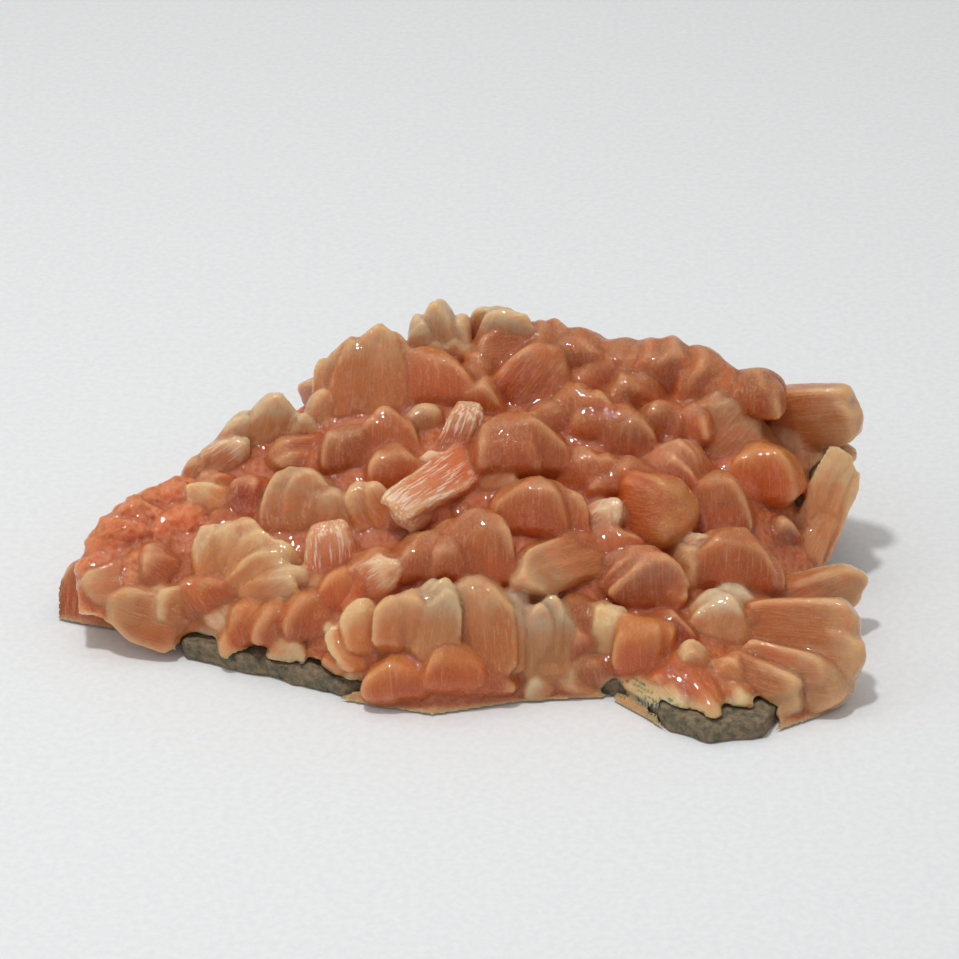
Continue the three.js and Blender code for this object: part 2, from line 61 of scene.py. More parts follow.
SECTIONS = [
    (-63, 7.0, [(-12, 7.5), (-11, 9), (-8, 11), (-5, 12), (-2, 11), (2, 9), (5, 7.5)]),
    (-54, 6.0, [(-13, 7), (-11, 10), (-6, 14), (0, 16), (6, 17), (12, 12), (17, 7)]),
    (-44, 0.4, [(-15, 2), (-12, 8), (-6, 14), (1, 17), (10, 20), (18, 14), (24, 4)]),
    (-32, 0.4, [(-20, 2), (-16, 9), (-8, 15), (3, 20.5), (18, 25.5), (27, 18), (33, 4)]),
    (-20, 0.4, [(-26, 2), (-22, 10), (-12, 17), (3, 23.5), (24, 30), (33, 22), (39, 5)]),
    (-6, 0.4, [(-31, 1), (-27, 11), (-16, 18), (3, 25.5), (28, 32.5), (37, 23), (42, 6)]),
    (9, 0.4, [(-27, 1), (-23, 11), (-13, 18), (4, 25), (28, 32), (37, 23), (43, 6)]),
    (22, 0.4, [(-25, 2), (-21, 8), (-11, 16), (4, 23.5), (26, 30.5), (35, 22), (42, 6)]),
    (34, 0.4, [(-38, 2), (-32, 6), (-16, 11), (0, 19.5), (24, 28.5), (32, 20), (39, 6)]),
    (46, 0.4, [(-36, 2), (-30, 5), (-18, 7), (-2, 14), (19, 25.5), (27, 18), (34, 5)]),
    (56, 0.4, [(-30, 2), (-25, 4), (-18, 4), (-4, 4), (11, 12), (21, 19), (28, 8)]),
]

# The blades seen from the front: for each region the kind of each of its blades in turn, and for each blade
# tip across, tip up, foot across, foot up, width, thickness, roll, stand, blunt and, for some, depth
BLADES = {
    "leftEnd": ("tyyyyyykycg", [
        (-64.5, 23.8, -51, 24, 5.6, 6, 0, 1, 0.4, -9), (-63, 31.5, -55, 26.5, 9, 6, 0, 2, 0.6),
        (-60.5, 34.5, -53.5, 28, 8, 6, 10, 2, 0.6), (-57.5, 38, -52, 30, 9, 6, 0, 2, 0.6),
        (-52.5, 41, -49, 33, 9, 6, 0, 2.5, 0.6), (-48, 42.5, -45.5, 35, 8, 5, 0, 2.5, 0.5),
        (-57, 28.5, -51, 25, 8, 5, 0, 2, 0.6), (-53.5, 30.5, -48.5, 25.5, 6, 3.5, 0, 3, 0.4),
        (-47.5, 38, -46, 30, 9, 5, 0, 3, 0.6), (-53, 20.5, -45, 20, 6.5, 5, 0, 1, 0.9, -14),
        (-39, 15.5, -44, 24, 5.5, 3, 0, 3, 0.5),
    ]),
    "creamSheaf": ("ccccc", [
        (-42.5, 34.7, -40.5, 22, 7, 3.5, 0, 4.5, 0.5), (-38, 35.6, -39.5, 22, 7, 3.5, 0, 5.2, 0.5),
        (-33.5, 34, -38, 21.5, 7.5, 3.5, 0, 5.5, 0.5), (-29.8, 30.8, -37, 21, 7.5, 3.5, 0, 5.5, 0.5),
        (-27.2, 26.5, -35.5, 19.5, 7, 3.5, 0, 4.5, 0.5),
    ]),
    "leftShoulder": ("ckrtwggtgtsttts", [
        (-46, 41, -37.5, 34.5, 5, 3, 0, 4, 0.4), (-44, 42.5, -38.5, 37, 5, 3, 10, 3, 0.5),
        (-35.5, 42.5, -35.5, 34, 4.5, 5, 40, 3, 0.7), (-42.5, 46.3, -44, 40.5, 4.5, 3, 0, 4, 0.3),
        (-36, 48, -43, 43, 5, 3, 0, 4, 0.4), (-31.6, 56.4, -34.5, 45, 6.5, 4, 10, 9, 0.25),
        (-36.5, 52.6, -38, 45.5, 5.5, 3, 0, 6, 0.3), (-40.5, 48.2, -40, 43.5, 5, 3, 0, 5, 0.3),
        (-27.5, 53, -27.5, 46, 4, 2.5, 0, 5, 0.3), (-23.7, 56.5, -24.5, 46.5, 4.8, 3, 0, 5, 0.4),
        (-33.5, 45.3, -22.5, 45, 4.5, 4, 20, 3, 0.6), (-29.5, 43.5, -27, 31, 11, 5, 0, 4.5, 0.6),
        (-22.5, 40.5, -22, 31, 6, 4.5, -20, 4, 0.5), (-19.5, 41.3, -14, 31.5, 5, 4, 10, 5, 0.5),
        (-23, 48.5, -22, 41, 6.5, 4, 0, 3.5, 0.5),
    ]),
    "leftFront": ("pwccsooocooo", [
        (-23.6, 34.8, -23, 24.5, 7, 5, -15, 6.5, 0.8), (-11.9, 28.5, -21, 21.5, 5.5, 3.5, 0, 6, 0.5),
        (-19.2, 22, -16.5, 13.5, 7, 4, 0, 5, 0.6), (-23.6, 17.8, -16.5, 12, 7, 3, 10, 4.5, 0.4),
        (-15.5, 31, -16, 21.5, 6.5, 4, 0, 4, 0.5), (-36.7, 22, -34, 14.5, 8, 4, 0, 4, 0.6),
        (-31, 22.2, -30, 15, 8, 4, 0, 4, 0.6), (-25.8, 24, -27, 15, 6.5, 4, 20, 4, 0.5),
        (-27.7, 16, -30, 10.5, 5.5, 3.5, 0, 3, 0.5), (-39.5, 18.5, -37, 13, 6, 4, 0, 3, 0.6),
        (-21, 27.5, -20, 19, 7, 4, -15, 3, 0.5), (-47, 26, -42, 19, 7, 4, 0, 2.5, 0.5),
    ]),
    "bigPeak": ("ttttss", [
        (-15.2, 67.5, -16, 49.5, 9.5, 5, 0, 9, 0.2), (-19, 65, -19.5, 49.5, 7, 4, -10, 8, 0.3),
        (-21.6, 62.4, -21.2, 50, 5, 3.5, -20, 7, 0.4), (-11.4, 64, -12.5, 50, 6, 4, 15, 7, 0.4),
        (-18.7, 51, -18.3, 41.5, 8, 5, 0, 4.5, 0.5), (-13.9, 54, -13.4, 42, 5.5, 4, 0, 5, 0.5),
    ]),
    "backRow": ("ggggsssssosssss", [
        (-4.9, 71.2, -5.3, 60, 4.5, 4, 0, 9, 0.25), (-8.2, 68.8, -8.3, 60, 3.6, 4, 10, 8, 0.35),
        (-1.6, 68.8, -2.2, 60, 3.4, 4, -10, 8, 0.35), (5.4, 70, 4.9, 60, 8.5, 4, 0, 9, 0.85),
        (9.6, 67.2, 9.8, 60, 4, 4, 0, 7, 0.5), (12.6, 67.4, 12.2, 59, 6, 6, 20, 6, 0.4),
        (17.2, 66.2, 18.5, 57, 7, 6, 0, 6, 0.4), (22.2, 64.3, 23.5, 57, 7, 6, -20, 6, 0.5),
        (27, 63.5, 27, 57, 6, 6, 10, 5, 0.5), (30.2, 63.2, 29.5, 56.5, 5, 5, 0, 5, 0.5),
        (33.3, 64.6, 32.4, 54, 8.5, 6, 0, 7, 0.3), (38, 62.8, 37.5, 53, 7, 6, 15, 6, 0.4),
        (42.2, 60, 41, 52, 6.5, 6, 0, 6, 0.5), (46.8, 60, 46.5, 52, 7, 6, -10, 7, 0.55),
        (51.2, 56.5, 50.5, 51, 4.5, 4, 0, 5, 0.3),
    ]),
    "upperSlope": ("stssssssssssssss", [
        (-5.7, 63.5, -5.2, 51, 11, 6, 0, 5.5, 0.6), (-3.3, 65, -3.3, 58, 5, 3.5, 0, 6, 0.4),
        (-0.5, 62, 12.5, 62.5, 5, 4.5, 10, 4, 0.5), (-1, 58.8, 8.5, 59, 4.5, 4, 10, 4, 0.5),
        (2.4, 58.6, 2.4, 50, 5, 4, 0, 5.5, 0.35), (15.3, 63, 7, 51.5, 8.5, 5, 0, 6, 0.35),
        (20, 62.5, 22.5, 54, 9, 4.5, 0, 5.5, 0.5), (17.2, 57.7, 18.3, 46.5, 7, 5, 0, 5, 0.5),
        (24.1, 59.2, 26.5, 51, 8.5, 5, 10, 6, 0.35), (35.5, 56, 35, 46, 6, 5, -20, 4, 0.5),
        (41.5, 54.5, 40.5, 46, 7, 5, 0, 4, 0.5), (26.4, 53, 25.5, 43.5, 6.8, 5, 0, 5.5, 0.4),
        (31, 54.5, 31.3, 45.5, 5.5, 4, 10, 5, 0.7), (20.9, 54.6, 21.2, 46, 9, 6, 0, 4.5, 0.6),
        (8.5, 52.8, 8.2, 39.5, 12.5, 8, 0, 6.5, 0.6), (12, 54.5, 12.5, 47, 7, 4, 0, 4, 0.5),
    ]),
    "middleSlope": ("ptwptsswstwokswksssssssss", [
        (0.2, 54.2, -3, 44, 5.2, 3.5, -20, 6.5, 0.85), (-7.8, 53.8, -7.3, 47, 4.5, 3.5, 0, 4, 0.7),
        (-6, 46.4, -5.5, 41, 4, 3, 0, 3, 0.6), (-13, 35.4, 1.5, 43.6, 6, 5, 15, 6.5, 0.95),
        (4.4, 44.4, 4.6, 36.5, 4.6, 4, 0, 4, 0.5), (9.8, 42.4, 10.1, 30, 9.5, 6, 0, 6, 0.55),
        (14, 41.9, 13.4, 30, 5.5, 4, 0, 5, 0.5), (16.6, 38.8, 16.3, 31, 2.2, 2.2, 0, 5, 0.4),
        (0.5, 37.2, 0.7, 23, 8.5, 6, 0, 7.5, 0.55), (6.8, 25.2, 21.2, 29.8, 7, 5, 10, 6.5, 0.5),
        (24.5, 37.8, 17.8, 31.2, 5, 3.5, 0, 5.5, 0.4), (36, 35.6, 24.5, 37.3, 8, 7, 0, 7.5, 0.6),
        (27.7, 30.6, 27.7, 21, 11.5, 6, 0, 6, 0.6), (40, 43.2, 40.4, 30, 8, 6, 0, 6, 0.55),
        (38.3, 32.3, 32.3, 28.2, 3.2, 2.2, 20, 6.5, 0.5), (33, 48, 33.4, 37.5, 9, 6, 0, 5.5, 0.5),
        (18.7, 47.2, 19.6, 38, 8, 5, 0, 4.5, 0.5), (25.3, 45.8, 25.3, 37.5, 8, 6, 0, 4.5, 0.5),
        (-7.3, 33.5, -6.8, 24, 8, 6, 0, 5, 0.5), (-8, 40, -7, 31.5, 8, 5, 0, 2.5, 0.5),
        (43.2, 33.8, 42, 21, 12.5, 8, 0, 6.5, 0.6), (21, 35, 21.5, 27, 8, 5, 0, 3, 0.5),
        (-11.5, 47.5, -11, 39, 7, 5, 10, 3.5, 0.5), (32.5, 41, 31, 33, 7, 5, 0, 3.5, 0.5),
        (13, 48, 14, 41, 6, 5, 0, 3.5, 0.5),
    ]),
    "rightLobe": ("ttowtccccts", [
        (46.8, 53.8, 36.5, 43.5, 11, 6, 0, 5, 0.55), (64, 52, 48, 50.2, 6.8, 6, 10, 6, 0.6, 18),
        (47.4, 48, 48, 35.5, 9, 6, 0, 6, 0.6), (51.8, 50, 53, 37, 5, 4, 10, 4, 0.6),
        (56.4, 48, 54.6, 38.5, 6, 4, 0, 4, 0.5), (60, 47.4, 54, 30, 4, 3, 0, 4, 0.5, 15),
        (61.7, 46.3, 54.5, 29, 4, 3, 0, 4, 0.5, 14.5), (62.6, 43.6, 54.5, 28, 4, 3, 0, 4, 0.5, 14),
        (60.8, 41.4, 54, 27, 4, 3, 0, 4, 0.5, 13), (63.2, 46, 57, 45, 3.6, 3, 0, 3, 0.6, 19),
        (49.7, 35, 52, 30, 4, 3, 0, 3, 0.5),
    ]),
    "lowerRight": ("tttttgoobokrsccoc", [
        (65, 26.5, 47, 18.5, 5.5, 4, 10, 5, 0.35, -5), (64.6, 11.8, 44, 13.5, 11, 5.5, 0, 4, 0.6, -28),
        (60, 16.6, 43, 14.5, 8, 5, 0, 4, 0.45, -23), (61.6, 7.5, 43, 9, 7.5, 5, 0, 3, 0.5, -31),
        (54.5, 5.2, 41, 9, 6, 4, 0, 2, 0.5, -33.5), (41.1, 24.4, 41.1, 14, 11, 7, 0, 5, 0.55),
        (35.9, 25.4, 29.3, 18.5, 2.4, 2, 0, 5, 0.3), (34, 24.8, 28.3, 18.3, 2.4, 2, 0, 4.5, 0.3),
        (23, 20.2, 21.6, 11.5, 5, 4.5, 0, 7, 1), (27.8, 19.4, 27.6, 9, 5.8, 5.5, 0, 6, 1),
        (16.7, 17.5, 18.7, 12.5, 4.2, 3, 0, 4, 0.3), (33, 20.5, 33, 13, 7, 5, 0, 3.5, 0.5),
        (50, 22, 45, 15, 7, 5, 0, 3, 0.5), (36, 15.4, 37.5, 8, 5, 3, 0, 4.5, 0.4),
        (47.2, 3.8, 34, 10.2, 4.5, 3.5, 0, 1.5, 0.4, -35),
        (41.6, 1.6, 30, 10.5, 4.5, 3.5, 0, 1.5, 0.4, -38.5),
        (36, 2.4, 27.5, 10.8, 4.5, 3.5, 0, 1.5, 0.4, -37.5),
    ]),
    "lowerFront": ("gggscsggttgooo", [
        (12.8, 24.4, 10.6, 8.5, 5, 4, 0, 5, 0.4), (9.8, 22, 9.8, 8.5, 4.5, 4, 0, 4.5, 0.3),
        (15, 21.8, 12.5, 9, 4.5, 4, 0, 4.5, 0.4), (17.2, 23, 17.2, 13, 8, 5, 0, 3, 0.5),
        (13.9, 11, 21, 9.5, 5, 4, 0, 3.5, 0.5), (17.2, 13.2, 18.8, 7.5, 7, 4, 0, 3, 0.6),
        (9.4, 9.8, 12.5, 7, 4.6, 4, 0, 2.5, 0.7), (-4.9, 26, -7, 11.5, 6.5, 4.5, 0, 6, 0.4),
        (0.9, 26, 2, 7.5, 10, 6, 0, 5, 0.55), (-10.1, 23.7, -10.6, 13, 7, 5, 0, 5, 0.5),
        (5.7, 24, 6.6, 9.5, 5.5, 5, 0, 4.5, 0.5), (-12.2, 14, -11.4, 4.5, 9, 6, 0, 2, 0.4),
        (-3.3, 16, -2.6, 6, 9, 6, 0, 1.6, 0.4), (4, 14, 4, 6, 7, 5, 0, 1.4, 0.4),
    ]),
}

# Kinds of blade: colours in sRGB from 0 to 255 at the tip and at the foot, the radius of the worn edges in
# millimetres, how pearly it is from 0 to 1, and the height of its crumbs in millimetres
KINDS = {
    "s": dict(tip=(176, 108, 62), foot=(174, 82, 34), worn=0.4, pearl=0, crumb=0),
    "t": dict(tip=(196, 154, 112), foot=(184, 108, 58), worn=0.26, pearl=0.1, crumb=0),
    "g": dict(tip=(202, 184, 152), foot=(194, 132, 82), worn=0.24, pearl=0.1, crumb=0),
    "c": dict(tip=(218, 184, 138), foot=(210, 136, 80), worn=0.18, pearl=0.35, crumb=0.06),
    "o": dict(tip=(194, 118, 56), foot=(190, 86, 32), worn=0.5, pearl=0, crumb=0.05),
    "w": dict(tip=(226, 190, 154), foot=(204, 122, 76), worn=0.15, pearl=0.7, crumb=0.05),
    "p": dict(tip=(212, 152, 112), foot=(198, 106, 60), worn=0.15, pearl=1, crumb=0),
    "k": dict(tip=(196, 128, 90), foot=(180, 88, 42), worn=0.2, pearl=0.35, crumb=0.04),
    "y": dict(tip=(212, 114, 52), foot=(202, 82, 28), worn=0.5, pearl=0, crumb=0.55),
    "r": dict(tip=(172, 80, 44), foot=(158, 60, 24), worn=0.2, pearl=0, crumb=0),
    "b": dict(tip=(226, 200, 152), foot=(220, 176, 120), worn=0.1, pearl=0.2, crumb=0),
}
BODY = dict(tip=(182, 102, 50), foot=(178, 82, 30), growth=0.15, pearl=0, crumb=0.35)
UNDERSIDE = dict(tip=(150, 118, 86), foot=(140, 100, 70), depth=0.15)

# Plates that make up a blade of some kinds: how many, and how they differ
PLATES = dict(c=4, w=4, p=3, k=3, g=3)
PLATE = dict(across=(-0.12, 0.12), swing=(-4, 4), width=(0.74, 1), step=(0.6, 1.6))
PLATE_SPREAD, PLATE_OVERLAP, PLATE_STEP = 0.8, 1.8, 0.05

# Lesser crystals at the sides of the other large blades, and the kinds that are made broader
SIDES = dict(across=(0.16, 0.34), out=(-0.2, 0.25), swing=(-3, 6), width=(0.5, 0.75), thickness=(0.7, 1),
             length=(0.82, 0.97))
BROADER = dict(kinds="sok", width=1.2, thickness=1.35)

# How the faces of crystals vary. Lengths are shares of half the width or thickness, slopes are in degrees.
FACES = dict(apex=(-0.2, 0.2), top_lean=(-0.2, 0.2), top_tilt=(-0.1, 0.1), crown=(-0.25, 0.25),
             broad_lean=(0.06, 0.24), broad_rise=(-0.01, 0.14), bevel=(26, 52), bevel_lean=(-0.3, 0.3),
             bevel_out=(0.05, 0.4), side_rise=(-0.04, 0.16), side_lean=(-0.3, 0.3), gable=(50, 64),
             gable_lean=(-0.1, 0.1), steep=(-0.12, 0.12), steep_cut=(0.08, 0.22))
FLAT_TOP = (0.02, 0.75, 2.4)    # half a top's width at a sharp tip, what bluntness adds, and its power
BLUNT_FALL = 32         # degrees by which the gable of the bluntest crystal is flatter
FOOT_TAPER = 0.8        # how steeply the faces at the foot of a crystal run together
FOOT_WIDTH = 0.3        # half the width of the foot
CROWN_HEIGHT = 0.8      # where along a crystal it is thickest
SIDE_HEIGHT = 0.7       # and where it is widest
CRYSTAL_SEED = 100
TURN = 14               # a blade is turned about its length by up to this many degrees
WORN_SHARE = 0.16       # the worn edges of thin crystals, as a share of their thickness

# The matrix rock: rim points with the rock's height there, its top with the steps between rim points,
# and its broken lumps as centre and half size
ROCK_RIM = [
    (-50, -4, 4), (-46, -15.5, 3), (-36, -19.8, 3.2), (-29, -22.5, 3.4), (-20, -26.5, 3), (-10, -27, 1.5),
    (4, -24, 1.5), (12, -22, 2.5), (20, -25, 3), (26, -28.5, 3.4), (31, -36, 3.6), (37, -39.6, 3),
    (46, -38, 2.8), (50, -31, 2.8), (50, -12, 2.6), (54, 4, 6), (58, 15, 11), (56, 26, 9),
    (46, 32, 6), (30, 38, 6), (9, 43, 6), (-10, 42, 6), (-24, 35, 5), (-36, 26, 4.5), (-47, 12, 4),
]
ROCK_TOP = dict(centre=(10, 5), share=0.6, height=5, steps=8)
ROCK_LUMPS = [
    ((55, 15, 7), (7, 8, 9)),
    ((60.5, 16, 14.5), (4.5, 5, 5)),
    ((-12, 36, 4.5), (10, 7, 5.5)),
    ((26, 35, 4.5), (11, 6, 5.5)),
    ((-41, -10, 2.5), (6, 4.5, 3)),
]

# Blades of the back, as in the CAD
BACK = dict(seed=41, ends=(-60, 56), across=11, rows=(4.2, 4.7, 5.2, 5.7), jitter=0.7, width=(8, 12),
            thickness=(5, 8), length=(12, 16), stand=(3.5, 7), blunt=(0.3, 0.7), rise=0.5, splay=0.008,
            roll=160, dip=3, kinds="sstsg", shift=0.25)

# Small blades that fill the gaps between the large ones
FILL = dict(seed=7, step=6.0, jitter=2.4, width=(8, 12), thickness=(5, 8), length=(12, 16), blunt=(0.2, 0.6),
            stand=(2.6, 5.0), low_stand=(-0.4, 1.2), lean=0.7, outward=0.6, rise=0.55, roll=120, clear=0.42,
            clear_along=0.8, near=3, front=30, draws=12)
# Those on the rim, at the two ends and on the ridge, where they differ
RIM = dict(end=1.3, start=3, width=(4.5, 8.5), thickness=(2.2, 4.4), length=(5, 8), drop=0.35, roll=40,
           stray=(1, 0.5, 0.25))
ENDS = dict(middle=-3, reach=45, over=16)
RIDGE = dict(stops=(3.4, 4.5), stand=(0.2, 1.6))
LOWERING = dict(steps=3, step=1.5, edge=0.4)
FILL_KINDS = dict(p="s", w="t", b="o", g="t", r="s")    # what takes the place of kinds that stay large

# The specimen's outline as readings of across and up. No small blade shows outside it.
OUTLINE = [
    (-65.0, 23.8), (-62.8, 33.3), (-58.4, 36.0), (-57.2, 38.0), (-53.6, 40.6), (-47.8, 42.5), (-45.2, 45.8),
    (-42.2, 46.1), (-37.8, 50.4), (-35.9, 54.0), (-31.6, 56.4), (-29.7, 51.7), (-26.2, 53.0), (-22.3, 56.7),
    (-21.5, 62.8), (-17.9, 66.2), (-15.0, 67.6), (-10.6, 63.9), (-9.3, 67.3), (-5.7, 71.1), (-4.1, 70.7),
    (0.3, 65.7), (1.6, 68.0), (5.4, 69.9), (8.3, 69.6), (8.8, 67.5), (11.1, 66.3), (12.6, 67.3), (24.8, 63.2),
    (30.5, 63.1), (33.3, 64.4), (35.0, 62.3), (37.3, 62.8), (40.4, 60.1), (47.3, 59.3), (50.4, 55.7),
    (53.0, 53.8), (60.8, 54.9), (63.9, 52.3), (63.6, 50.2), (61.6, 48.4), (63.6, 45.5), (62.8, 43.7),
    (64.1, 40.3), (60.5, 38.8), (60.1, 36.0), (57.5, 33.9), (57.7, 29.7), (56.6, 27.5), (57.7, 25.8),
    (63.2, 27.4), (65.2, 26.4), (64.7, 24.1), (57.4, 19.9), (64.7, 13.0), (63.6, 8.1), (53.0, 4.2),
    (50.5, 2.0), (37.8, 0.3), (21.5, 8.5), (13.4, 8.6), (12.1, 6.5), (8.0, 9.3), (0.7, 5.5), (-4.9, 5.4),
    (-10.6, 3.7), (-21.2, 8.8), (-29.3, 9.6), (-33.1, 13.4), (-47.1, 14.3), (-53.3, 20.0), (-63.6, 20.9),
]

# Hollows between the blades that stay open, as reading across, up and radius
HOLLOWS = [(-8, 48, 4), (8, 30, 3), (29, 31.5, 6), (36.5, 52, 4), (48.5, 24, 5), (32.5, 14.5, 2.5),
           (-20, 36, 2), (61, 40, 4), (58.5, 35, 3)]


# Numbers

def random_from(seed):
    """The same draws as in the CAD."""
    state = seed
    while True:
        state = (state * 1664525 + 1013904223) % 4294967296
        yield state / 4294967296


def between(ends, share):
    return ends[0] + (ends[1] - ends[0]) * share


def unit(vector):
    return vector / np.linalg.norm(vector, axis=-1, keepdims=True)


def smooth(low, high, value):
    share = np.clip((value - low) / (high - low), 0, 1)
    return share * share * (3 - 2 * share)


LATTICE_SEED, LATTICE_SIZE = 3, 32
LATTICE = np.random.default_rng(LATTICE_SEED).uniform(-1, 1, (*[LATTICE_SIZE] * 3, 3))


def noise(points, size):
    """Smooth vector noise from -1 to 1 with cells of the given size."""
    place = points / size
    cell = np.floor(place).astype(int)
    share = place - cell
    share = share * share * (3 - 2 * share)
    total = np.zeros_like(points)
    for corner in range(8):
        step = np.array([corner & 1, corner >> 1 & 1, corner >> 2 & 1])
        weight = np.prod(np.where(step, share, 1 - share), axis=1)
        i, j, k = ((cell + step) % LATTICE_SIZE).T
        total += LATTICE[i, j, k] * weight[:, None]
    return total


# The crust's surface

SECTION_X = np.array([x for x, under, profile in SECTIONS], float)
SECTION_UNDER = np.array([under for x, under, profile in SECTIONS])
PROFILES = np.array([profile for x, under, profile in SECTIONS], float)


def profiles_at(x):
    place = np.clip(np.interp(x, SECTION_X, np.arange(len(SECTION_X))), 0, len(SECTION_X) - 1.000001)
    left = place.astype(int)
    share = (place - left)[:, None, None]
    return PROFILES[left] * (1 - share) + PROFILES[left + 1] * share


def crust_height(x, y):
    profile = profiles_at(x)
    ys, zs = profile[..., 0], profile[..., 1]
    rows = np.arange(len(x))
    k = np.clip((ys <= y[:, None]).sum(1) - 1, 0, ys.shape[1] - 2)
    share = (y - ys[rows, k]) / (ys[rows, k + 1] - ys[rows, k])
    height = zs[rows, k] + (zs[rows, k + 1] - zs[rows, k]) * share
    height = np.where(y <= ys[:, 0], zs[:, 0] - (ys[:, 0] - y) * SKIRT_SLOPE, height)
    height = np.where(y >= ys[:, -1], zs[:, -1] - (y - ys[:, -1]) * SKIRT_SLOPE, height)
    past = np.maximum(np.maximum(SECTION_X[0] - x, x - SECTION_X[-1]), 0)
    return height - past * SKIRT_SLOPE


# Sight lines

VIEW_UP = np.array([0, math.sin(VIEW_TILT), math.cos(VIEW_TILT)])
VIEW_AHEAD = np.array([0, math.cos(VIEW_TILT), -math.sin(VIEW_TILT)])
READING_ZERO = VIEW_CENTRE + VIEW_UP * np.dot(np.array([0, FRONT_FOOT, 0]) - VIEW_CENTRE, VIEW_UP)


def reading_point(across, up):
    return READING_ZERO + np.array([across, 0, 0]) + VIEW_UP * up


EYE = reading_point(*VIEW_MIDDLE) - VIEW_AHEAD * EYE_DISTANCE
SIGHT_DEPTHS = np.arange(-50, 45.01, 0.25)    # where a sight line is compared with the crust


def sight_points(across, up, depths):
    ahead = reading_point(across, up) - EYE
    return EYE + ahead * ((depths - EYE[1]) / ahead[1])[:, None]


def on_crust(across, up, stand):
    points = sight_points(across, up, SIGHT_DEPTHS)
    gap = points[:, 2] - crust_height(points[:, 0], points[:, 1]) - stand
    under = np.flatnonzero(gap <= 0)
    return points[under[0]] if len(under) else points[np.argmin(gap)]


def reading_of(points):
    """Where points show on the reading plane."""
    ahead = points - EYE
    reach = np.dot(READING_ZERO - EYE, VIEW_AHEAD) / (ahead @ VIEW_AHEAD)
    shown = EYE + ahead * reach[:, None] - READING_ZERO
    return np.stack([shown[:, 0], shown @ VIEW_UP], axis=1)


def inside_outline(readings):
    """Whether each reading lies within the outline."""
    inside = np.zeros(len(readings), bool)
    for (across, up), (next_across, next_up) in zip(OUTLINE, OUTLINE[1:] + OUTLINE[:1]):
        if up != next_up:
            spans = (readings[:, 1] < up) != (readings[:, 1] < next_up)
            meets = across + (next_across - across) * (readings[:, 1] - up) / (next_up - up)
            inside ^= spans & (readings[:, 0] < meets)
    return inside


def within_outline(tip, width):
    """Whether a tip of this width shows inside the outline."""
    edges = np.array([[-LOWERING["edge"], 0], [0, 0], [LOWERING["edge"], 0]]) * width
    return inside_outline(reading_of(tip[None]) + edges).all()


def lowered_tip(point, lean, stand, width):
    """The tip of a blade that stands on the crust, lowered in steps until it keeps to the outline."""
    for _ in range(LOWERING["steps"]):
        if within_outline(point + lean * stand, width):
            break
        stand -= LOWERING["step"]
    return point + lean * stand


# Blades as facts: foot, tip, face, width, thickness, blunt, kind

def seen_blades():
    for kinds, rows in BLADES.values():
        for kind, row in zip(kinds, rows):
            tip_across, tip_up, foot_across, foot_up, width, thickness, roll, stand, blunt, *depth = row
            if depth:
                tip = sight_points(tip_across, tip_up, np.array([depth[0]], float))[0]
            else:
                tip = on_crust(tip_across, tip_up, stand)
            foot = on_crust(foot_across, foot_up, -FOOT_DEPTH)
            yield dict(foot=foot, tip=tip, face=turned_face(foot, tip, roll), kind=kind, blunt=blunt,
                       width=width * FULLNESS, thickness=thickness, size="large")


def turned(face, axis, degrees):
    turn = math.radians(degrees)
    return face * math.cos(turn) + np.cross(axis, face) * math.sin(turn)


def turned_face(foot, tip, roll):
    """The normal of a blade's broad face, turned to the eye and then rolled about the blade."""
    axis = unit(tip - foot)
    to_eye = EYE - foot
    return turned(unit(to_eye - axis * np.dot(to_eye, axis)), axis, roll)


def surface_point(x, stop):
    profile = profiles_at(np.array([x], float))[0]
    k = min(int(stop), len(profile) - 2)
    (y, z), (next_y, next_z) = profile[k], profile[k + 1]
    point = np.array([x, y + (next_y - y) * (stop - k), z + (next_z - z) * (stop - k)])
    return point, unit(np.array([0, z - next_z, next_y - y]))


def back_blades():
    draw = random_from(BACK["seed"])
    for row, stop in enumerate(BACK["rows"]):
        for i in range(BACK["across"]):
            share = (i + (row % 2) / 2 + BACK["shift"] + (next(draw) - 0.5) * BACK["jitter"]) / BACK["across"]
            x = between(BACK["ends"], min(share, 1))
            point, outward = surface_point(x, stop)
            lean = unit(outward + np.array([x * BACK["splay"] + next(draw) - 0.5, 0, BACK["rise"]]))
            width = between(BACK["width"], next(draw))
            thickness = between(BACK["thickness"], next(draw))
            length = between(BACK["length"], next(draw))
            roll = (next(draw) - 0.5) * BACK["roll"]
            stand = between(BACK["stand"], next(draw)) - (BACK["dip"] if row == 0 else 0)
            tip = lowered_tip(point, lean, stand, width)
            foot = tip - lean * length
            yield dict(foot=foot, tip=tip, face=turned_face(foot, tip, roll), size="large",
                       kind=BACK["kinds"][(i + row) % len(BACK["kinds"])],
                       blunt=between(BACK["blunt"], next(draw)), width=width * FULLNESS, thickness=thickness)


def fill_kind(point, seen, pick):
    """The kind of one of the nearest large blades, so that colours keep to their regions."""
    near = np.argsort([np.linalg.norm(point - blade["tip"]) for blade in seen])
    kind = seen[near[int(pick * FILL["near"])]]["kind"]
    return FILL_KINDS.get(kind, kind)


def before_large(point, lines):
    """Whether a point shows in front of one of the large blades that are seen."""
    spot = reading_of(point[None])[0]
    for tip, foot, width in lines:
        along = foot - tip
        share = np.clip((spot - tip) @ along / (along @ along), 0, FILL["clear_along"])
        if np.linalg.norm(tip + along * share - spot) < width * FILL["clear"]:
            return True
    return False


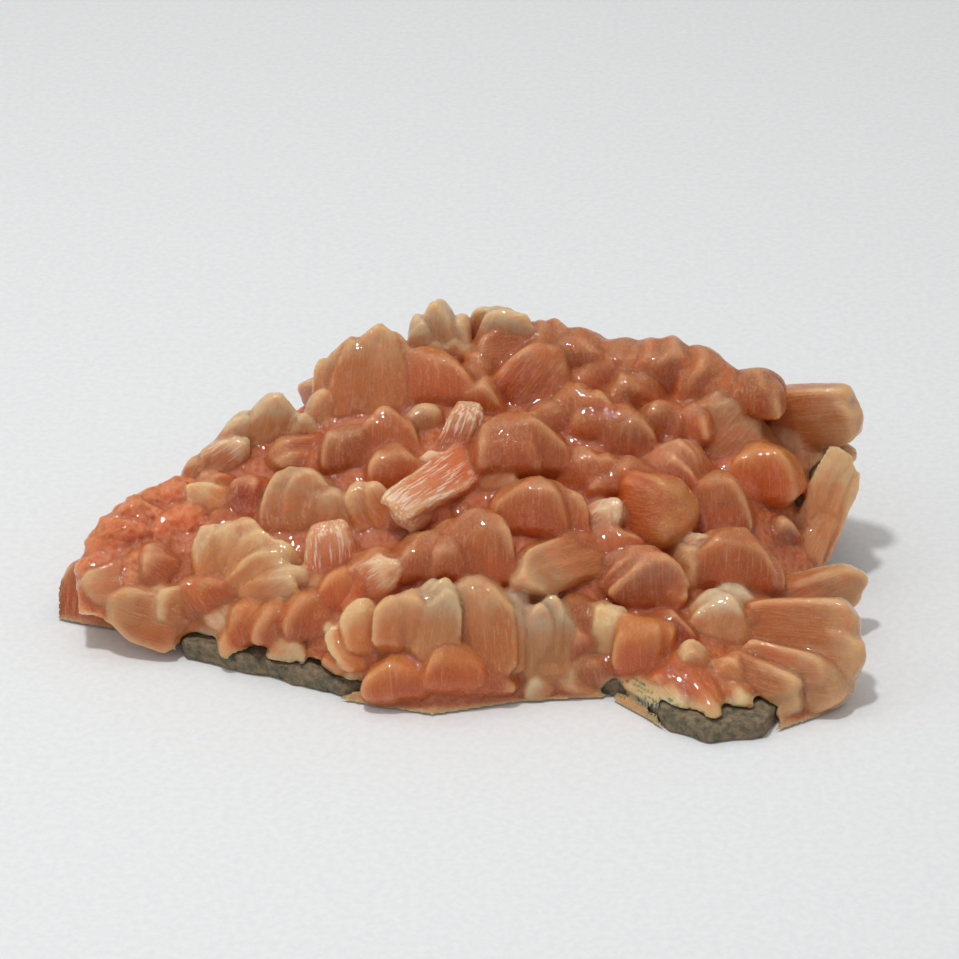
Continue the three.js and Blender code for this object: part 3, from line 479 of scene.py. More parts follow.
def fill_blades(seen):
    rng = np.random.default_rng(FILL["seed"])
    x = SECTION_X[0] + 1
    hollows = np.array(HOLLOWS, float)
    seen_lines = [(reading_of(blade["tip"][None])[0], reading_of(blade["foot"][None])[0], blade["width"])
                  for blade in seen[:sum(len(kinds) for kinds, rows in BLADES.values())]]
    while x < SECTION_X[-1]:
        profile = profiles_at(np.array([x]))[0]
        lengths = np.linalg.norm(np.diff(profile, axis=0), axis=1)
        along = np.concatenate([[0], np.cumsum(lengths)])
        rim_end = np.interp(RIM["end"], np.arange(len(along)), along)
        for reach in [*np.arange(rng.uniform(0, RIM["start"]), rim_end, FILL["step"] / 2),
                      *np.arange(rng.uniform(0, FILL["step"]), along[-1], FILL["step"])]:
            draws = rng.uniform(0, 1, FILL["draws"])
            here = np.clip(reach + (draws[0] - 0.5) * 2 * FILL["jitter"], 0, along[-1] - 0.01)
            stop = np.interp(here, along, np.arange(len(along)))
            spot = np.clip(x + (draws[1] - 0.5) * 2 * FILL["jitter"], SECTION_X[0], SECTION_X[-1])
            point, outward = surface_point(spot, stop)
            ends = max(0, abs(spot - ENDS["middle"]) - ENDS["reach"]) / ENDS["over"] * np.sign(spot)
            stray = (draws[2:5] - 0.5) * 2 * FILL["lean"]
            on_rim = stop < RIM["end"]
            if on_rim:
                lean = unit(np.array([ends, outward[1], -RIM["drop"]]) + stray * np.array(RIM["stray"]))
            else:
                lean = unit(outward * FILL["outward"] + np.array([ends, 0, FILL["rise"]]) + stray)
            on_ridge = RIDGE["stops"][0] < stop < RIDGE["stops"][1]
            sizes = RIM if on_rim else FILL
            width = between(sizes["width"], draws[10])
            stand = between((RIDGE if on_ridge else FILL)["stand"], draws[5])
            if not on_ridge and before_large(point, seen_lines):
                if on_rim:
                    continue
                stand = between(FILL["low_stand"], draws[5])
            tip = lowered_tip(point, lean, stand, width)
            in_hollow = np.hypot(*(reading_of(tip[None])[0] - hollows[:, :2]).T) < hollows[:, 2]
            if not within_outline(tip, width) or (in_hollow.any() and tip[1] < FILL["front"]):
                continue
            foot = tip - lean * between(sizes["length"], draws[6])
            yield dict(foot=foot, tip=tip, face=turned_face(foot, tip, (draws[7] - 0.5) * sizes["roll"]),
                       kind=fill_kind(point, seen, draws[8]), blunt=between(FILL["blunt"], draws[9]),
                       width=width, thickness=between(sizes["thickness"], draws[11]), size="small")
        x += FILL["step"]


# Crystals as flat faces

def crystal_planes(width, thickness, length, blunt, rng):
    """The flat faces of a crystal that stands on the origin along +Y, as outward normals and distances."""
    w, t = width / 2, thickness / 2
    faces = []

    def face(normal, point):
        normal = unit(np.array(normal, float))
        faces.append((normal, normal @ np.array(point, float)))

    def draw(name):
        return rng.uniform(*FACES[name])

    for side in (-1, 1):
        face((0, -1, side * FOOT_TAPER), (0, 0, 0))
        face((side * FOOT_TAPER, -1, 0), (side * w * FOOT_WIDTH, 0, 0))
    apex = draw("apex") * w
    flat = (FLAT_TOP[0] + FLAT_TOP[1] * blunt ** FLAT_TOP[2]) * w
    face((draw("top_lean"), 1, draw("top_tilt")), (apex, length, 0))
    for out in (-1, 1):
        crown = draw("crown") * w
        for side in (-1, 1):
            face((side * draw("broad_lean"), draw("broad_rise"), out),
                 (crown, length * CROWN_HEIGHT, out * t))
        slope = math.radians(draw("bevel"))
        face((draw("bevel_lean"), math.cos(slope), out * math.sin(slope)),
             (apex, length, out * t * draw("bevel_out")))
    for side in (-1, 1):
        face((side, draw("side_rise"), draw("side_lean")), (side * w, length * SIDE_HEIGHT, 0))
        slope = math.radians(draw("gable") - BLUNT_FALL * blunt)
        face((side * math.sin(slope), math.cos(slope), draw("gable_lean")), (apex + side * flat, length, 0))
        steep = (slope + math.pi / 2) / 2 + draw("steep")
        normal = np.array([side * math.sin(steep), math.cos(steep), draw("steep")])
        corner = np.array([side * w, length - (w - flat) * math.tan(slope), 0])
        face(normal, corner - normal * w * draw("steep_cut"))
    normals, reach = zip(*faces)
    return np.array(normals), np.array(reach)


NEARLY_FLAT = 0.02    # three faces that are nearer to parallel than this share no corner
SPARE = 1e-6


def crystal_corners(normals, reach):
    """Where three faces meet inside all the others."""
    trios = np.array(list(itertools.combinations(range(len(reach)), 3)))
    trios = trios[np.abs(np.linalg.det(normals[trios])) > NEARLY_FLAT]
    points = np.linalg.solve(normals[trios], reach[trios][..., None])[..., 0]
    return points[(points @ normals.T <= reach + SPARE).all(axis=1)]


def members(blade, rng):
    """The crystals that make up a blade: offset across and out, turn, width, thickness, length."""
    width, thickness, kind = blade["width"], blade["thickness"], blade["kind"]
    if blade["size"] == "small":
        return [(0, 0, 0, width, thickness, 1)]
    if kind in BROADER["kinds"]:
        width, thickness = width * BROADER["width"], thickness * BROADER["thickness"]
    parts = [(0, 0, 0, width, thickness, 1)]
    if kind in PLATES:
        count = PLATES[kind]
        order = rng.permutation(count)
        parts = []
        for i in range(count):
            across, swing, wide, step = [rng.uniform(*ends) for ends in PLATE.values()]
            parts.append((across * width, ((i + 0.5) / count - 0.5) * thickness * PLATE_SPREAD, swing,
                          width * wide, thickness / count * PLATE_OVERLAP, 1 - PLATE_STEP * order[i] * step))
    elif kind != "b":
        for side in rng.permutation([-1, 1])[:rng.integers(1, 3)]:
            across, out, swing, wide, thick, long = [rng.uniform(*ends) for ends in SIDES.values()]
            parts.append((side * across * width, out * thickness, side * swing,
                          width * wide, thickness * thick, long))
    return parts


def crystals_of(number, blade):
    """The crystals of a blade, each with its faces in place, the wear of its edges and its box."""
    rng = np.random.default_rng(CRYSTAL_SEED + number)
    kind = KINDS[blade["kind"]]
    axis = unit(blade["tip"] - blade["foot"])
    blade["face"] = turned(blade["face"], axis, rng.uniform(-TURN, TURN))
    blade["side"] = np.cross(axis, blade["face"])
    frame_of = np.stack([blade["side"], axis, blade["face"]])
    reach = np.linalg.norm(blade["tip"] - blade["foot"])
    for across, out, swing, width, thickness, share in members(blade, rng):
        normals, distances = crystal_planes(width, thickness, reach * share, blade["blunt"], rng)
        corners = crystal_corners(normals, distances)
        cos, sin = math.cos(math.radians(swing)), math.sin(math.radians(swing))
        spin = np.array([[cos, -sin, 0], [sin, cos, 0], [0, 0, 1]])
        start = blade["foot"] + np.array([across, 0, out]) @ frame_of
        normals = normals @ spin @ frame_of
        corners = corners @ spin @ frame_of + start
        yield dict(normals=normals, reach=distances + normals @ start, number=number,
                   worn=min(kind["worn"], thickness * WORN_SHARE),
                   low=corners.min(axis=0) - FIELD_EDGE, high=corners.max(axis=0) + FIELD_EDGE)


def crystal_distance(crystal, x, y, z):
    """How far points lie outside a crystal with worn edges."""
    worn = crystal["worn"]
    total = 0.0
    for normal, reach in zip(crystal["normals"] / worn, crystal["reach"] / worn):
        total = total + np.exp(np.minimum(normal[0] * x + normal[1] * y + (normal[2] * z - reach), STEEPEST))
    return np.log(total) * worn


# Fields: how far the points of a grid lie outside a form

CELL = 0.5
FIELD_LOW = np.array([-68.0, -42.0, -1.0])
FIELD_HIGH = np.array([69.0, 50.0, 47.0])
FIELD_EDGE = 1.2     # how far past a crystal its field is worked out
BLEND = 0.3          # how softly the crystals run into one another
BODY_RISE = 0.8      # the crust between the blades stands this far over the CAD's
BODY_SLOPE = 0.7     # turns heights over that crust into distances
END_SPARE = 0.5      # how far that crust reaches past the first and last sections
BODY_GAP = 1.0       # and how far it stays clear of the rock, so that it leaves no thin skins there
ROCK_ROUGH = ((4.0, 0.5), (1.7, 0.35))    # sizes of the rock's bumps, and their heights
ROCK_SLOPES = (0.9, 0.8)    # turn how far a point is beside and above the rock into distances
LUMP_ROUGH = 0.6
GOLDEN = (1 + math.sqrt(5)) / 2
LUMP_INSIDE = 0.7947    # how near a lump's flat faces are to its middle, where its corners are at 1
FAR = 2.0               # fields are only needed to this distance
NOTHING = 1e-5          # what stands for no crystal near, where its logarithm is taken
STEEPEST = 60           # the largest exponent

X, Y, Z = [np.arange(low, high, CELL, dtype=np.float32) for low, high in zip(FIELD_LOW, FIELD_HIGH)]
PLAN = np.stack(np.meshgrid(X, Y, indexing="ij"), axis=-1).reshape(-1, 2).astype(float)


def body_distance(plan, z):
    """How far points lie outside the crust under the blades. z is a height for each, or a row of heights."""
    x, y = plan.T
    parts = (crust_height(x, y) + BODY_RISE, np.interp(x, SECTION_X, SECTION_UNDER),
             np.maximum(SECTION_X[0] - x, x - SECTION_X[-1]) - END_SPARE)
    height, under, beyond = [part.reshape(-1, *[1] * (z.ndim - 1)) for part in parts]
    return np.maximum(np.maximum((z - height) * BODY_SLOPE, under - z), beyond)


def lump_faces(centre, half):
    """The 20 flat faces of a broken lump."""
    normals = [*itertools.product((-1, 1), repeat=3)]
    for one, two in itertools.product((-GOLDEN, GOLDEN), (-1 / GOLDEN, 1 / GOLDEN)):
        normals += [(0, one, two), (one, two, 0), (two, 0, one)]
    normals = unit(np.array(normals, float)) / np.array(half)
    size = np.linalg.norm(normals, axis=1)
    normals /= size[:, None]
    return normals, LUMP_INSIDE / size + normals @ np.array(centre)


def rock_field():
    middle = np.array(ROCK_TOP["centre"], float)
    rim = np.array(ROCK_RIM, float)
    edge = np.linspace(0, len(rim), len(rim) * ROCK_TOP["steps"], endpoint=False)
    left = edge.astype(int)
    share = (edge - left)[:, None]
    rim = rim[left] * (1 - share) + rim[(left + 1) % len(rim)] * share
    turns = np.arctan2(rim[:, 1] - middle[1], rim[:, 0] - middle[0])
    reaches = np.hypot(rim[:, 0] - middle[0], rim[:, 1] - middle[1])
    apart = PLAN - middle
    turn = np.arctan2(apart[:, 1], apart[:, 0])
    reach = np.interp(turn, turns, reaches, period=2 * math.pi)
    height = np.interp(turn, turns, rim[:, 2], period=2 * math.pi)
    out = np.hypot(apart[:, 0], apart[:, 1])
    inward = np.clip((1 - out / reach) / (1 - ROCK_TOP["share"]), 0, 1)
    flat = np.column_stack([PLAN, np.zeros(len(PLAN))])
    rough = sum(noise(flat, size) * height for size, height in ROCK_ROUGH)
    height = height * (1 - inward) + ROCK_TOP["height"] * inward + rough[:, 1]
    beside = (out - reach + rough[:, 0]).reshape(len(X), len(Y), 1)
    height = height.reshape(len(X), len(Y), 1)
    field = np.maximum(beside * ROCK_SLOPES[0], (Z - height) * ROCK_SLOPES[1]).astype(np.float32)
    for centre, half in ROCK_LUMPS:
        lump = np.full(field.shape, -np.inf, np.float32)
        for (x, y, z), distance in zip(*lump_faces(centre, half)):
            lump = np.maximum(lump, x * X[:, None, None] + y * Y[:, None] + z * Z - distance)
        field = np.minimum(field, lump + rough[:, 2].reshape(len(X), len(Y), 1) * LUMP_ROUGH)
    return field.astype(np.float32)


def crystal_field(crystals, rock):
    near = np.full((len(X), len(Y), len(Z)), NOTHING, np.float32)
    body = body_distance(PLAN, Z[None, :]).reshape(near.shape).astype(np.float32)
    near += np.exp(-np.clip(np.maximum(body, BODY_GAP - rock), -FAR, FAR) / BLEND)
    for crystal in crystals:
        first = np.clip(((crystal["low"] - FIELD_LOW) / CELL).astype(int), 0, None)
        last = ((crystal["high"] - FIELD_LOW) / CELL).astype(int) + 2
        box = tuple(slice(a, b) for a, b in zip(first, last))
        x, y, z = X[box[0]][:, None, None], Y[box[1]][:, None], Z[box[2]]
        near[box] += np.exp(-np.clip(crystal_distance(crystal, x, y, z), -FAR, FAR) / BLEND)
    field = np.maximum(-BLEND * np.log(near), CRUST_UNDERSIDE - Z)
    return np.maximum(field, CLEARANCE - rock)


def surface_net(field):
    """Points and outward quads of the surface where a field is zero, with a point in each cell it crosses."""
    inside = field < 0
    size = np.array(field.shape) - 1
    corners = np.array(list(itertools.product((0, 1), repeat=3)))
    count = sum(inside[i:size[0] + i, j:size[1] + j, k:size[2] + k].astype(np.int8) for i, j, k in corners)
    active = (count > 0) & (count < 8)
    cells = np.argwhere(active)
    index = np.full(active.shape, -1, np.int64)
    index[active] = np.arange(len(cells))
    total, number, faces = np.zeros((len(cells), 3)), np.zeros(len(cells)), []
    for axis in range(3):
        step = np.eye(3, dtype=int)
        for corner in corners[corners[:, axis] == 0]:
            a, b = cells + corner, cells + corner + step[axis]
            start, end = field[tuple(a.T)], field[tuple(b.T)]
            crosses = (start < 0) != (end < 0)
            place = a[crosses].astype(float)
            place[:, axis] += start[crosses] / (start[crosses] - end[crosses])
            total[crosses] += place
            number[crosses] += 1
        second, third = step[(axis + 1) % 3], step[(axis + 2) % 3]
        ahead = np.roll(inside, -1, axis=axis)
        edges = np.argwhere(inside != ahead)
        edges = edges[(edges < size).all(axis=1) & (edges > 0).all(axis=1)]
        around = (0 * second, second, second + third, third)
        quads = np.stack([index[tuple((edges - turn).T)] for turn in around], axis=1)
        outward = inside[tuple(edges.T)]
        faces.append(np.where(outward[:, None], quads, quads[:, ::-1]))
    return FIELD_LOW + CELL * total / number[:, None], np.concatenate(faces)


def one_body(points, faces):
    """The largest of the separate bodies."""
    label = np.arange(len(points))
    while True:
        least = label[faces].min(axis=1)
        new = label.copy()
        np.minimum.at(new, faces.ravel(), np.repeat(least, faces.shape[1]))
        new = new[new]
        if (new == label).all():
            break
        label = new
    keep = label == np.bincount(label).argmax()
    place = np.cumsum(keep) - 1
    return points[keep], place[faces[keep[faces[:, 0]]]]


# Meshes

BENDS = ((7.0, 0.3), (2.6, 0.14))     # sizes of the pieces' unevenness, and how far it reaches
FLAT_UNDER = 2.5                      # below this height the unevenness fades out
RAISED_FROM = (0.4, 1.5)              # and between these the crumbs and ridges
CRUMBS = ((2.4, 1.0), (1.3, 0.8))     # sizes and heights of crumbs
RIDGES = dict(cells=(0.9, 0.08, 0.9), height=0.13, pearly=0.12)    # lengthwise ridges


def mesh_object(name, points, faces):
    mesh = bpy.data.meshes.new(name)
    mesh.from_pydata((points * METRES).tolist(), [], [tuple(face) for face in faces])
    piece = bpy.data.objects.new(name, mesh)
    bpy.context.scene.collection.objects.link(piece)
    return piece


def thinned(name, points, faces, triangles):
    """A mesh of about the given number of triangles."""
    piece = mesh_object(name, points, faces)
    share = triangles / (2 * len(faces))
    if share < 1:
        thin = piece.modifiers.new("thin", "DECIMATE")
        thin.ratio = share
        graph = bpy.context.evaluated_depsgraph_get()
        mesh = bpy.data.meshes.new_from_object(piece.evaluated_get(graph), depsgraph=graph)
        piece.modifiers.clear()
        piece.data, old = mesh, piece.data
        bpy.data.meshes.remove(old)
        mesh.name = name
    piece.data.polygons.foreach_set("use_smooth", np.ones(len(piece.data.polygons), bool))
    return piece


def crisp(piece, sharp):
    """Shades flat faces flat and sharp edges sharp."""
    piece.data.set_sharp_from_angle(angle=math.radians(sharp))
    weighted = piece.modifiers.new("normals", "WEIGHTED_NORMAL")
    weighted.keep_sharp = True
    weighted.weight = 100


def vertex_values(mesh, what):
    values = np.zeros(len(mesh.vertices) * 3, np.float32)
    mesh.vertices.foreach_get(what, values)
    return values.reshape(-1, 3).astype(float)


def unevenness(points):
    """How far all the pieces are bent alike, which leaves the underside flat."""
    return sum(noise(points, size) * reach for size, reach in BENDS) * smooth(0, FLAT_UNDER, points[:, 2:])


# What the materials read: colours, growth, crowding and grain

OWN_EDGE = 0.25      # over this distance the colours of neighbours run into each other
DEEPEST = -0.5       # points deeper than this in a crystal aren't told apart
SHADES = dict(seed=17, light=0.13, warm=(0.02, 0, -0.05), apart=40)    # how blades of one kind differ
WIDE, NARROW = 3.5, 1.0     # distances over which crowding is measured


def linear(colour):
    share = np.asarray(colour, float) / 255
    return np.where(share <= 0.04045, share / 12.92, ((share + 0.055) / 1.055) ** 2.4)


def tones(kind):
    """The colours at the tip and at the foot, one after the other."""
    return np.concatenate([linear(kind["tip"]), linear(kind["foot"])])


def crowding(field, points, reach):
    """At each point, the share of the space within reach that is filled."""
    filled = (field < 0).astype(np.float32)
    wide = int(round(reach / CELL))
    for axis in range(3):
        for _ in range(2):
            margins = [(wide + 1, wide) if k == axis else (0, 0) for k in range(3)]
            padded = np.pad(filled, margins, mode="edge")
            run = np.cumsum(padded, axis=axis, dtype=np.float64)
            ahead = np.take(run, np.arange(2 * wide + 1, run.shape[axis]), axis=axis)
            behind = np.take(run, np.arange(0, run.shape[axis] - 2 * wide - 1), axis=axis)
            filled = ((ahead - behind) / (2 * wide + 1)).astype(np.float32)
    place = np.clip((points - FIELD_LOW) / CELL, 0, np.array(field.shape) - 1.001)
    cell = place.astype(int)
    share = place - cell
    value = np.zeros(len(points))
    for corner in itertools.product((0, 1), repeat=3):
        weight = np.prod(np.where(corner, share, 1 - share), axis=1)
        value += filled[tuple((cell + corner).T)] * weight
    return value


def paint_crystals(mesh, blades, crystals, field):
    """Writes the attributes, and gives each vertex's crumbs and ridges to raise it by."""
    points = vertex_values(mesh, "co") / METRES
    own = np.random.default_rng(SHADES["seed"]).uniform(-1, 1, (len(blades), 3))
    weight = np.exp(-np.maximum(body_distance(points[:, :2], points[:, 2]), DEEPEST) / OWN_EDGE)
    best = weight.copy()
    # Tip and foot colour, growth, pearl and crumb
    body = np.concatenate([tones(BODY), [BODY["growth"], BODY["pearl"], BODY["crumb"]]])
    values = body * weight[:, None]
    grain = points.copy()
    for crystal in crystals:
        within = np.flatnonzero(((points > crystal["low"]) & (points < crystal["high"])).all(axis=1))
        spot = points[within]
        share = np.exp(-np.maximum(crystal_distance(crystal, *spot.T), DEEPEST) / OWN_EDGE)
        blade = blades[crystal["number"]]
        kind = KINDS[blade["kind"]]
        drawn = own[crystal["number"]]
        shade = 1 + drawn[0] * SHADES["light"] + np.array(SHADES["warm"]) * drawn[1]
        apart = spot - blade["foot"]
        length = np.linalg.norm(blade["tip"] - blade["foot"])
        along = apart @ ((blade["tip"] - blade["foot"]) / length)
        facts = np.tile([*tones(kind) * np.tile(shade, 2), 0, kind["pearl"], kind["crumb"]], (len(within), 1))
        facts[:, 6] = np.clip(along / length, 0, 1)
        weight[within] += share
        values[within] += facts * share[:, None]
        leads = share > best[within]
        best[within[leads]] = share[leads]
        local = np.column_stack([apart @ blade["side"], along, apart @ blade["face"]])
        grain[within[leads]] = local[leads] + drawn * SHADES["apart"]
    values /= weight[:, None]
    below = smooth(UNDERSIDE["depth"], 0, points[:, 2] - CRUST_UNDERSIDE)[:, None]
    values[:, :6] = values[:, :6] * (1 - below) + tones(UNDERSIDE) * below
    growth, pearl, crumb = values[:, 6], values[:, 7], values[:, 8]
    wide, narrow = crowding(field, points, WIDE), crowding(field, points, NARROW)
    ones = np.ones(len(points))
    for name, what in (("tip_tone", [values[:, :3], ones]), ("foot_tone", [values[:, 3:6], ones]),
                       ("traits", [growth, pearl, crumb, ones]), ("form", [wide, narrow, ones, ones])):
        colours = np.column_stack(what).astype(np.float32)
        mesh.attributes.new(name, "FLOAT_COLOR", "POINT").data.foreach_set("color", colours.ravel())
    directions = mesh.attributes.new("grain", "FLOAT_VECTOR", "POINT").data
    directions.foreach_set("vector", grain.astype(np.float32).ravel())
    crumbs = sum(noise(points, size)[:, 0] * height for size, height in CRUMBS) * crumb
    ridges = noise(grain * np.array(RIDGES["cells"]), 1.0)[:, 0]
    return crumbs + ridges * (RIDGES["height"] + RIDGES["pearly"] * pearl)


def settle(piece, raised):
    """Moves the vertices to their final places."""
    mesh = piece.data
    points, normals = vertex_values(mesh, "co") / METRES, vertex_values(mesh, "normal")
    raised = raised * smooth(*RAISED_FROM, points[:, 2])
    points = points + unevenness(points) + normals * raised[:, None]
    mesh.vertices.foreach_set("co", (points * METRES).astype(np.float32).ravel())
    mesh.update()


# Materials

class Nodes:
    """A material's node tree. Most calls add nodes, fed with values or sockets, and return an output."""

    def __init__(self, name):
        self.material = bpy.data.materials.new(name)
        self.material.use_nodes = True
        self.tree = self.material.node_tree
        self.tree.nodes.clear()

    def add(self, kind, settings=None, **inputs):
        node = self.tree.nodes.new("ShaderNode" + kind)
        for key, value in (settings or {}).items():
            setattr(node, key, value)
        for key, value in inputs.items():
            self.put(node.inputs[key.replace("_", " ")], value)
        return node

    def put(self, socket, value):
        if isinstance(value, bpy.types.NodeSocket):
            self.tree.links.new(value, socket)
        else:
            socket.default_value = value

    def fed(self, kind, settings, values, output=0):
        """A node whose inputs are given by number."""
        node = self.add(kind, settings)
        for i, value in values.items():
            self.put(node.inputs[i], value)
        return node.outputs[output]

    def place(self):
        """The place on the piece in millimetres."""
        return self.vector("MULTIPLY", self.add("TexCoord").outputs["Object"], (1000, 1000, 1000))

    def attribute(self, name, output="Color"):
        return self.add("Attribute", dict(attribute_name=name)).outputs[output]

    def math(self, operation, a, b):
        return self.fed("Math", dict(operation=operation), {0: a, 1: b})

    def times(self, a, b):
        return self.math("MULTIPLY", a, b)

    def vector(self, operation, a, b):
        return self.fed("VectorMath", dict(operation=operation), {0: a, 1: b})

    def steer(self, value, low, high, out_low=0.0, out_high=1.0):
        values = dict(enumerate((value, low, high, out_low, out_high)))
        return self.fed("MapRange", dict(interpolation_type="SMOOTHSTEP"), values)

    def mix(self, share, a, b):
        return self.fed("Mix", dict(data_type="RGBA"), {0: share, 6: a, 7: b}, 2)

    def painted(self, colour, layers):
        """A colour with layers over it, each given as its share and its tone."""
        for share, tone in layers:
            colour = self.mix(share, colour, rgb(tone))
        return colour

    def noise(self, vector, scale, detail, rough):
        return self.add("TexNoise", Vector=vector, Scale=scale, Detail=detail, Roughness=rough).outputs["Fac"]

    def cells(self, vector, scale=1.0, output="Distance"):
        return self.add("TexVoronoi", Vector=vector, Scale=scale).outputs[output]

    def patches(self, normal, place, turn):
        """A normal that leans another way in each cell."""
        lean = self.vector("SUBTRACT", self.cells(place, output="Color"), (0.5, 0.5, 0.5))
        turned = self.fed("VectorMath", dict(operation="SCALE"), {0: lean, 3: turn})
        return self.fed("VectorMath", dict(operation="NORMALIZE"), {0: self.vector("ADD", normal, turned)})

    def bumped(self, normal, *bumps):
        """A normal with bumps in it, each given as its height, distance and strength."""
        for height, distance, strength in bumps:
            node = self.add("Bump", Height=height, Distance=distance, Strength=strength)
            if normal:
                self.put(node.inputs["Normal"], normal)
            normal = node.outputs[0]
        return normal

    def finished(self, **inputs):
        """The material, with the main shader's inputs."""
        shader = self.add("BsdfPrincipled", **inputs)
        self.put(self.add("OutputMaterial").inputs["Surface"], shader.outputs[0])
        return self.material


def rgb(colour):
    return (*linear(colour), 1.0)


def stilbite_material():
    n = Nodes("stilbite")
    place = n.place()
    growth, pearl, crumb = n.add("SeparateColor", Color=n.attribute("traits")).outputs
    wide, narrow, _ = n.add("SeparateColor", Color=n.attribute("form")).outputs
    grain = n.attribute("grain", "Vector")

    def along(*scale):
        return n.vector("MULTIPLY", grain, scale)

    clear = n.steer(wide, 0.4, 0.72, 1.0, 0.0)
    fibres = n.noise(along(2.6, 0.12, 2.6), 1.0, 4.0, 0.6)
    fine_fibres = n.noise(along(7.0, 0.25, 7.0), 1.0, 3.0, 0.6)
    clouds = n.noise(place, 0.22, 3.0, 0.5)
    mottle = n.noise(place, 0.9, 4.0, 0.6)
    grit = n.noise(place, 3.5, 3.0, 0.6)
    crumbs = n.cells(place, 0.75)

    # Redder at the foot and paler towards the tip; painted shade makes the hollows and the seams between the
    # crystals darker and redder
    shift = n.times(n.math("SUBTRACT", clouds, 0.5), 0.9)
    thin = n.steer(narrow, 0.34, 0.5, 0.3, 0.0)
    tall = n.steer(n.math("ADD", n.math("ADD", growth, shift), thin), 0.42, 1.0)
    shaded_hollows = n.steer(n.math("ADD", wide, n.times(n.math("SUBTRACT", mottle, 0.5), 0.12)), 0.6, 0.84)
    colour = n.painted(n.mix(tall, n.attribute("foot_tone"), n.attribute("tip_tone")), (
        # Painted shade: deep red-orange in the hollows
        (n.times(shaded_hollows, 0.6), (168, 58, 16)),
        # Painted shade: orange-red in the narrow seams between the crystals
        (n.times(n.steer(narrow, 0.56, 0.8), 0.45), (182, 72, 22)),
        # Pale milky streaks along the blades, small milky flecks and specks, and an orange glow
        (n.times(n.times(n.steer(fibres, 0.5, 0.72), n.steer(pearl, 0.0, 1.0, 0.32, 0.6)), clear),
         (228, 182, 132)),
        (n.times(n.times(n.steer(mottle, 0.6, 0.74), 0.28), clear), (216, 160, 104)),
        (n.times(n.steer(grit, 0.4, 0.7), 0.22), (214, 154, 92)),
        (n.times(n.steer(clouds, 0.5, 0.68), 0.35), (204, 92, 28)),
        # Painted light along the thin edges, painted highlights as white lines along the pearly blades, and
        # pale crumbs
        (n.steer(narrow, 0.46, 0.26, 0.0, 0.6), (226, 184, 136)),
        # Painted highlights: white lines along the pearly blades
        (n.times(n.times(n.steer(fibres, 0.5, 0.6), n.steer(pearl, 0.3, 1.0, 0.0, 0.75)), clear),
         (244, 222, 200)),
        (n.times(n.times(n.steer(crumbs, 0.1, 0.6), n.steer(crumb, 0.1, 0.5)), 0.45), (228, 150, 104)),
    ))
    rough = n.math("ADD", n.steer(mottle, 0.3, 0.7, 0.26, 0.44), n.times(shaded_hollows, 0.2))
    rough = n.math("SUBTRACT", rough, n.times(pearl, 0.08))

    # Small flat patches, each turned a little its own way, which catch the light one by one
    smooth_normal = n.add("NewGeometry").outputs["Normal"]
    gloss = n.patches(smooth_normal, along(0.5, 0.22, 0.5), 0.24)
    gloss = n.patches(gloss, along(2.3, 0.9, 2.3), n.steer(pearl, 0.0, 1.0, 0.24, 0.4))
    normal = n.bumped(
        n.patches(smooth_normal, along(2.4, 1.2, 2.4), 0.16),
        (mottle, 0.00026, 0.7), (grit, 0.00002, 0.8),
        (fibres, n.steer(pearl, 0.0, 1.0, 0.00022, 0.00035), 0.8),
        (fine_fibres, n.steer(pearl, 0.0, 1.0, 0.00008, 0.00014), 0.8),
        (grit, n.steer(crumb, 0.05, 0.5, 0.00002, 0.00016), 0.8),
        (crumbs, n.steer(crumb, 0.1, 0.5, 0.0, 0.0005), 0.9))
    return n.finished(Base_Color=colour, Roughness=rough, Normal=normal, Coat_Normal=gloss, IOR=1.5,
                      Specular_IOR_Level=0.25, Subsurface_Weight=1.0, Subsurface_Radius=(1.0, 0.55, 0.3),
                      Subsurface_Scale=0.0035, Coat_Weight=0.6, Coat_Roughness=0.05)


def rock_material():
    n = Nodes("matrix_rock")
    place = n.place()
    patches = n.noise(place, 0.16, 3.0, 0.55)
    mottle = n.noise(place, 0.7, 5.0, 0.65)
    grit = n.noise(place, 2.6, 4.0, 0.7)
    colour = n.painted(rgb((116, 104, 82)), (
        (n.steer(patches, 0.35, 0.65), (98, 98, 78)),
        (n.steer(mottle, 0.42, 0.66), (152, 130, 100)),
        (n.times(n.steer(mottle, 0.44, 0.3), 0.85), (58, 46, 34)),
        (n.times(n.steer(grit, 0.6, 0.72), 0.5), (206, 180, 142)),
    ))
    normal = n.bumped(None, (mottle, 0.0008, 0.8), (grit, 0.0003, 0.8), (n.cells(place, 0.9), 0.0004, 0.6))
    return n.finished(Base_Color=colour, Roughness=n.steer(grit, 0.3, 0.7, 0.7, 0.95), Normal=normal)


def floor_material():
    n = Nodes("floor")
    tooth = n.noise(n.place(), 0.8, 3.0, 0.6)
    colour = n.painted(rgb((228, 230, 232)), [(n.steer(tooth, 0.3, 0.7), (234, 236, 237))])
    return n.finished(Base_Color=colour, Roughness=0.9, Normal=n.bumped(None, (tooth, 0.00005, 0.5)))


# The pieces

CLUSTER_TRIANGLES, ROCK_TRIANGLES = 190000, 30000
CLUSTER_SHARP, ROCK_SHARP = 27, 40    # edges sharper than this many degrees stay sharp

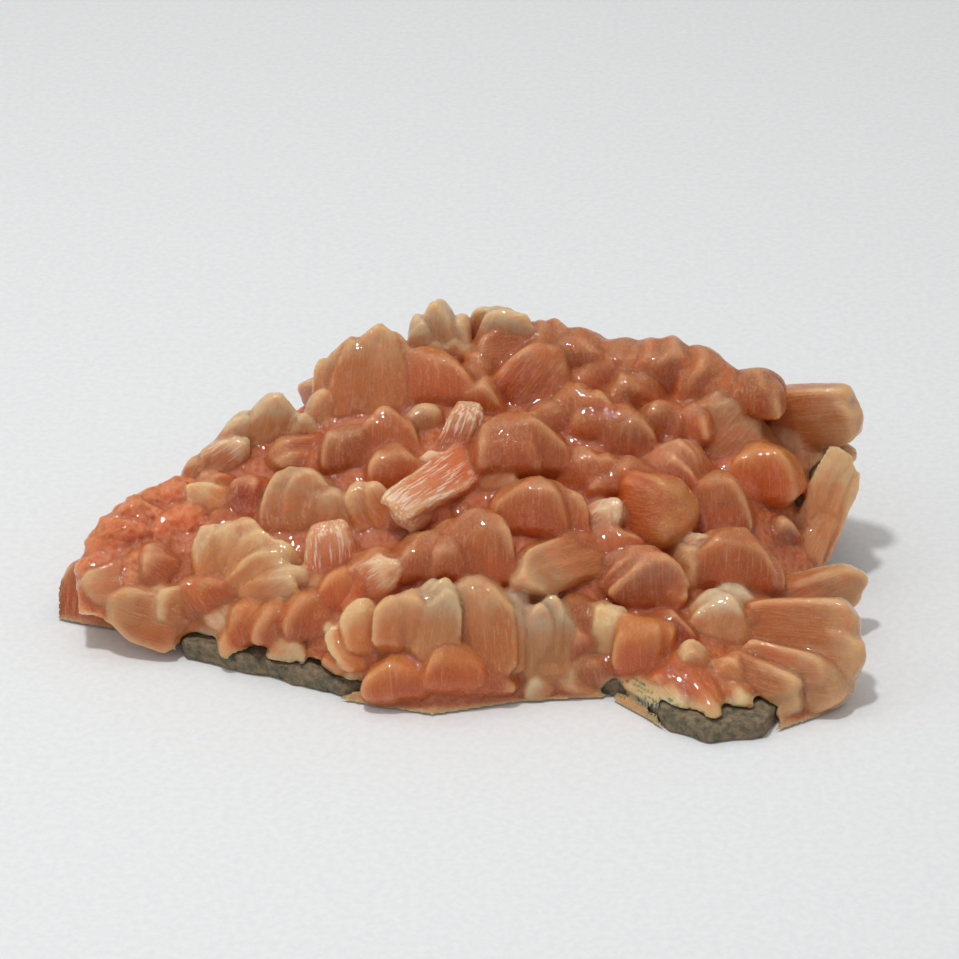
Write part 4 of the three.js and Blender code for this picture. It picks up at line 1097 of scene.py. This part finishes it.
large = [*seen_blades(), *back_blades()]
blades = [*large, *fill_blades(large)]
crystals = [crystal for number, blade in enumerate(blades) for crystal in crystals_of(number, blade)]
rock_space = rock_field()
crystal_space = crystal_field(crystals, rock_space)
cluster = thinned("stilbite", *one_body(*surface_net(crystal_space)), CLUSTER_TRIANGLES)
settle(cluster, paint_crystals(cluster.data, blades, crystals, crystal_space))
crisp(cluster, CLUSTER_SHARP)
cluster.data.materials.append(stilbite_material())
matrix = thinned("matrix_rock", *one_body(*surface_net(np.maximum(rock_space, -Z))), ROCK_TRIANGLES)
settle(matrix, np.zeros(len(matrix.data.vertices)))
crisp(matrix, ROCK_SHARP)
matrix.data.materials.append(rock_material())

for piece, node, slot in ((cluster, "stilbite_cluster", "stilbite"), (matrix, "matrix", "matrix_rock")):
    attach(piece, "root")
    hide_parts(node)


# Floor, camera and light

corners = np.array([(-3000, -3000, 0), (3000, -3000, 0), (3000, 3000, 0), (-3000, 3000, 0)], float)
floor = mesh_object("floor", corners, [(0, 1, 2, 3)])
floor.data.materials.append(floor_material())


def aimed(thing, place, target):
    thing.location = Vector(place) * METRES
    thing.rotation_euler = (Vector(target) - Vector(place)).to_track_quat("-Z", "Y").to_euler()
    bpy.context.scene.collection.objects.link(thing)
    return thing


lens = bpy.data.cameras.new("camera")
lens.sensor_width = 36
lens.lens = lens.sensor_width * EYE_DISTANCE / VIEW_WIDTH
lens.clip_start, lens.clip_end = 0.01, 20
bpy.context.scene.camera = aimed(bpy.data.objects.new("camera", lens), EYE, reading_point(*VIEW_MIDDLE))


def soft_light(name, place, target, size, power, colour=(1, 1, 1)):
    light = bpy.data.lights.new(name, "AREA")
    light.shape = "DISK"
    light.size = size * METRES
    light.energy = power
    light.color = colour
    return aimed(bpy.data.objects.new(name, light), place, target)


soft_light("overhead", (-120, 200, 620), (0, 0, 10), 420, 0.46)
soft_light("left", (-620, -120, 420), (0, 0, 10), 300, 0.4)
soft_light("front", (100, -700, 420), (0, 0, 20), 300, 0.2)
soft_light("glint", (-130, -90, 740), (0, 0, 20), 70, 2.3)

world = bpy.data.worlds.new("world")
bpy.context.scene.world = world
world.use_nodes = True
world.node_tree.nodes["Background"].inputs["Color"].default_value = (1.0, 0.99, 0.97, 1)
world.node_tree.nodes["Background"].inputs["Strength"].default_value = 0.46
bpy.context.scene.view_settings.view_transform = "Standard"
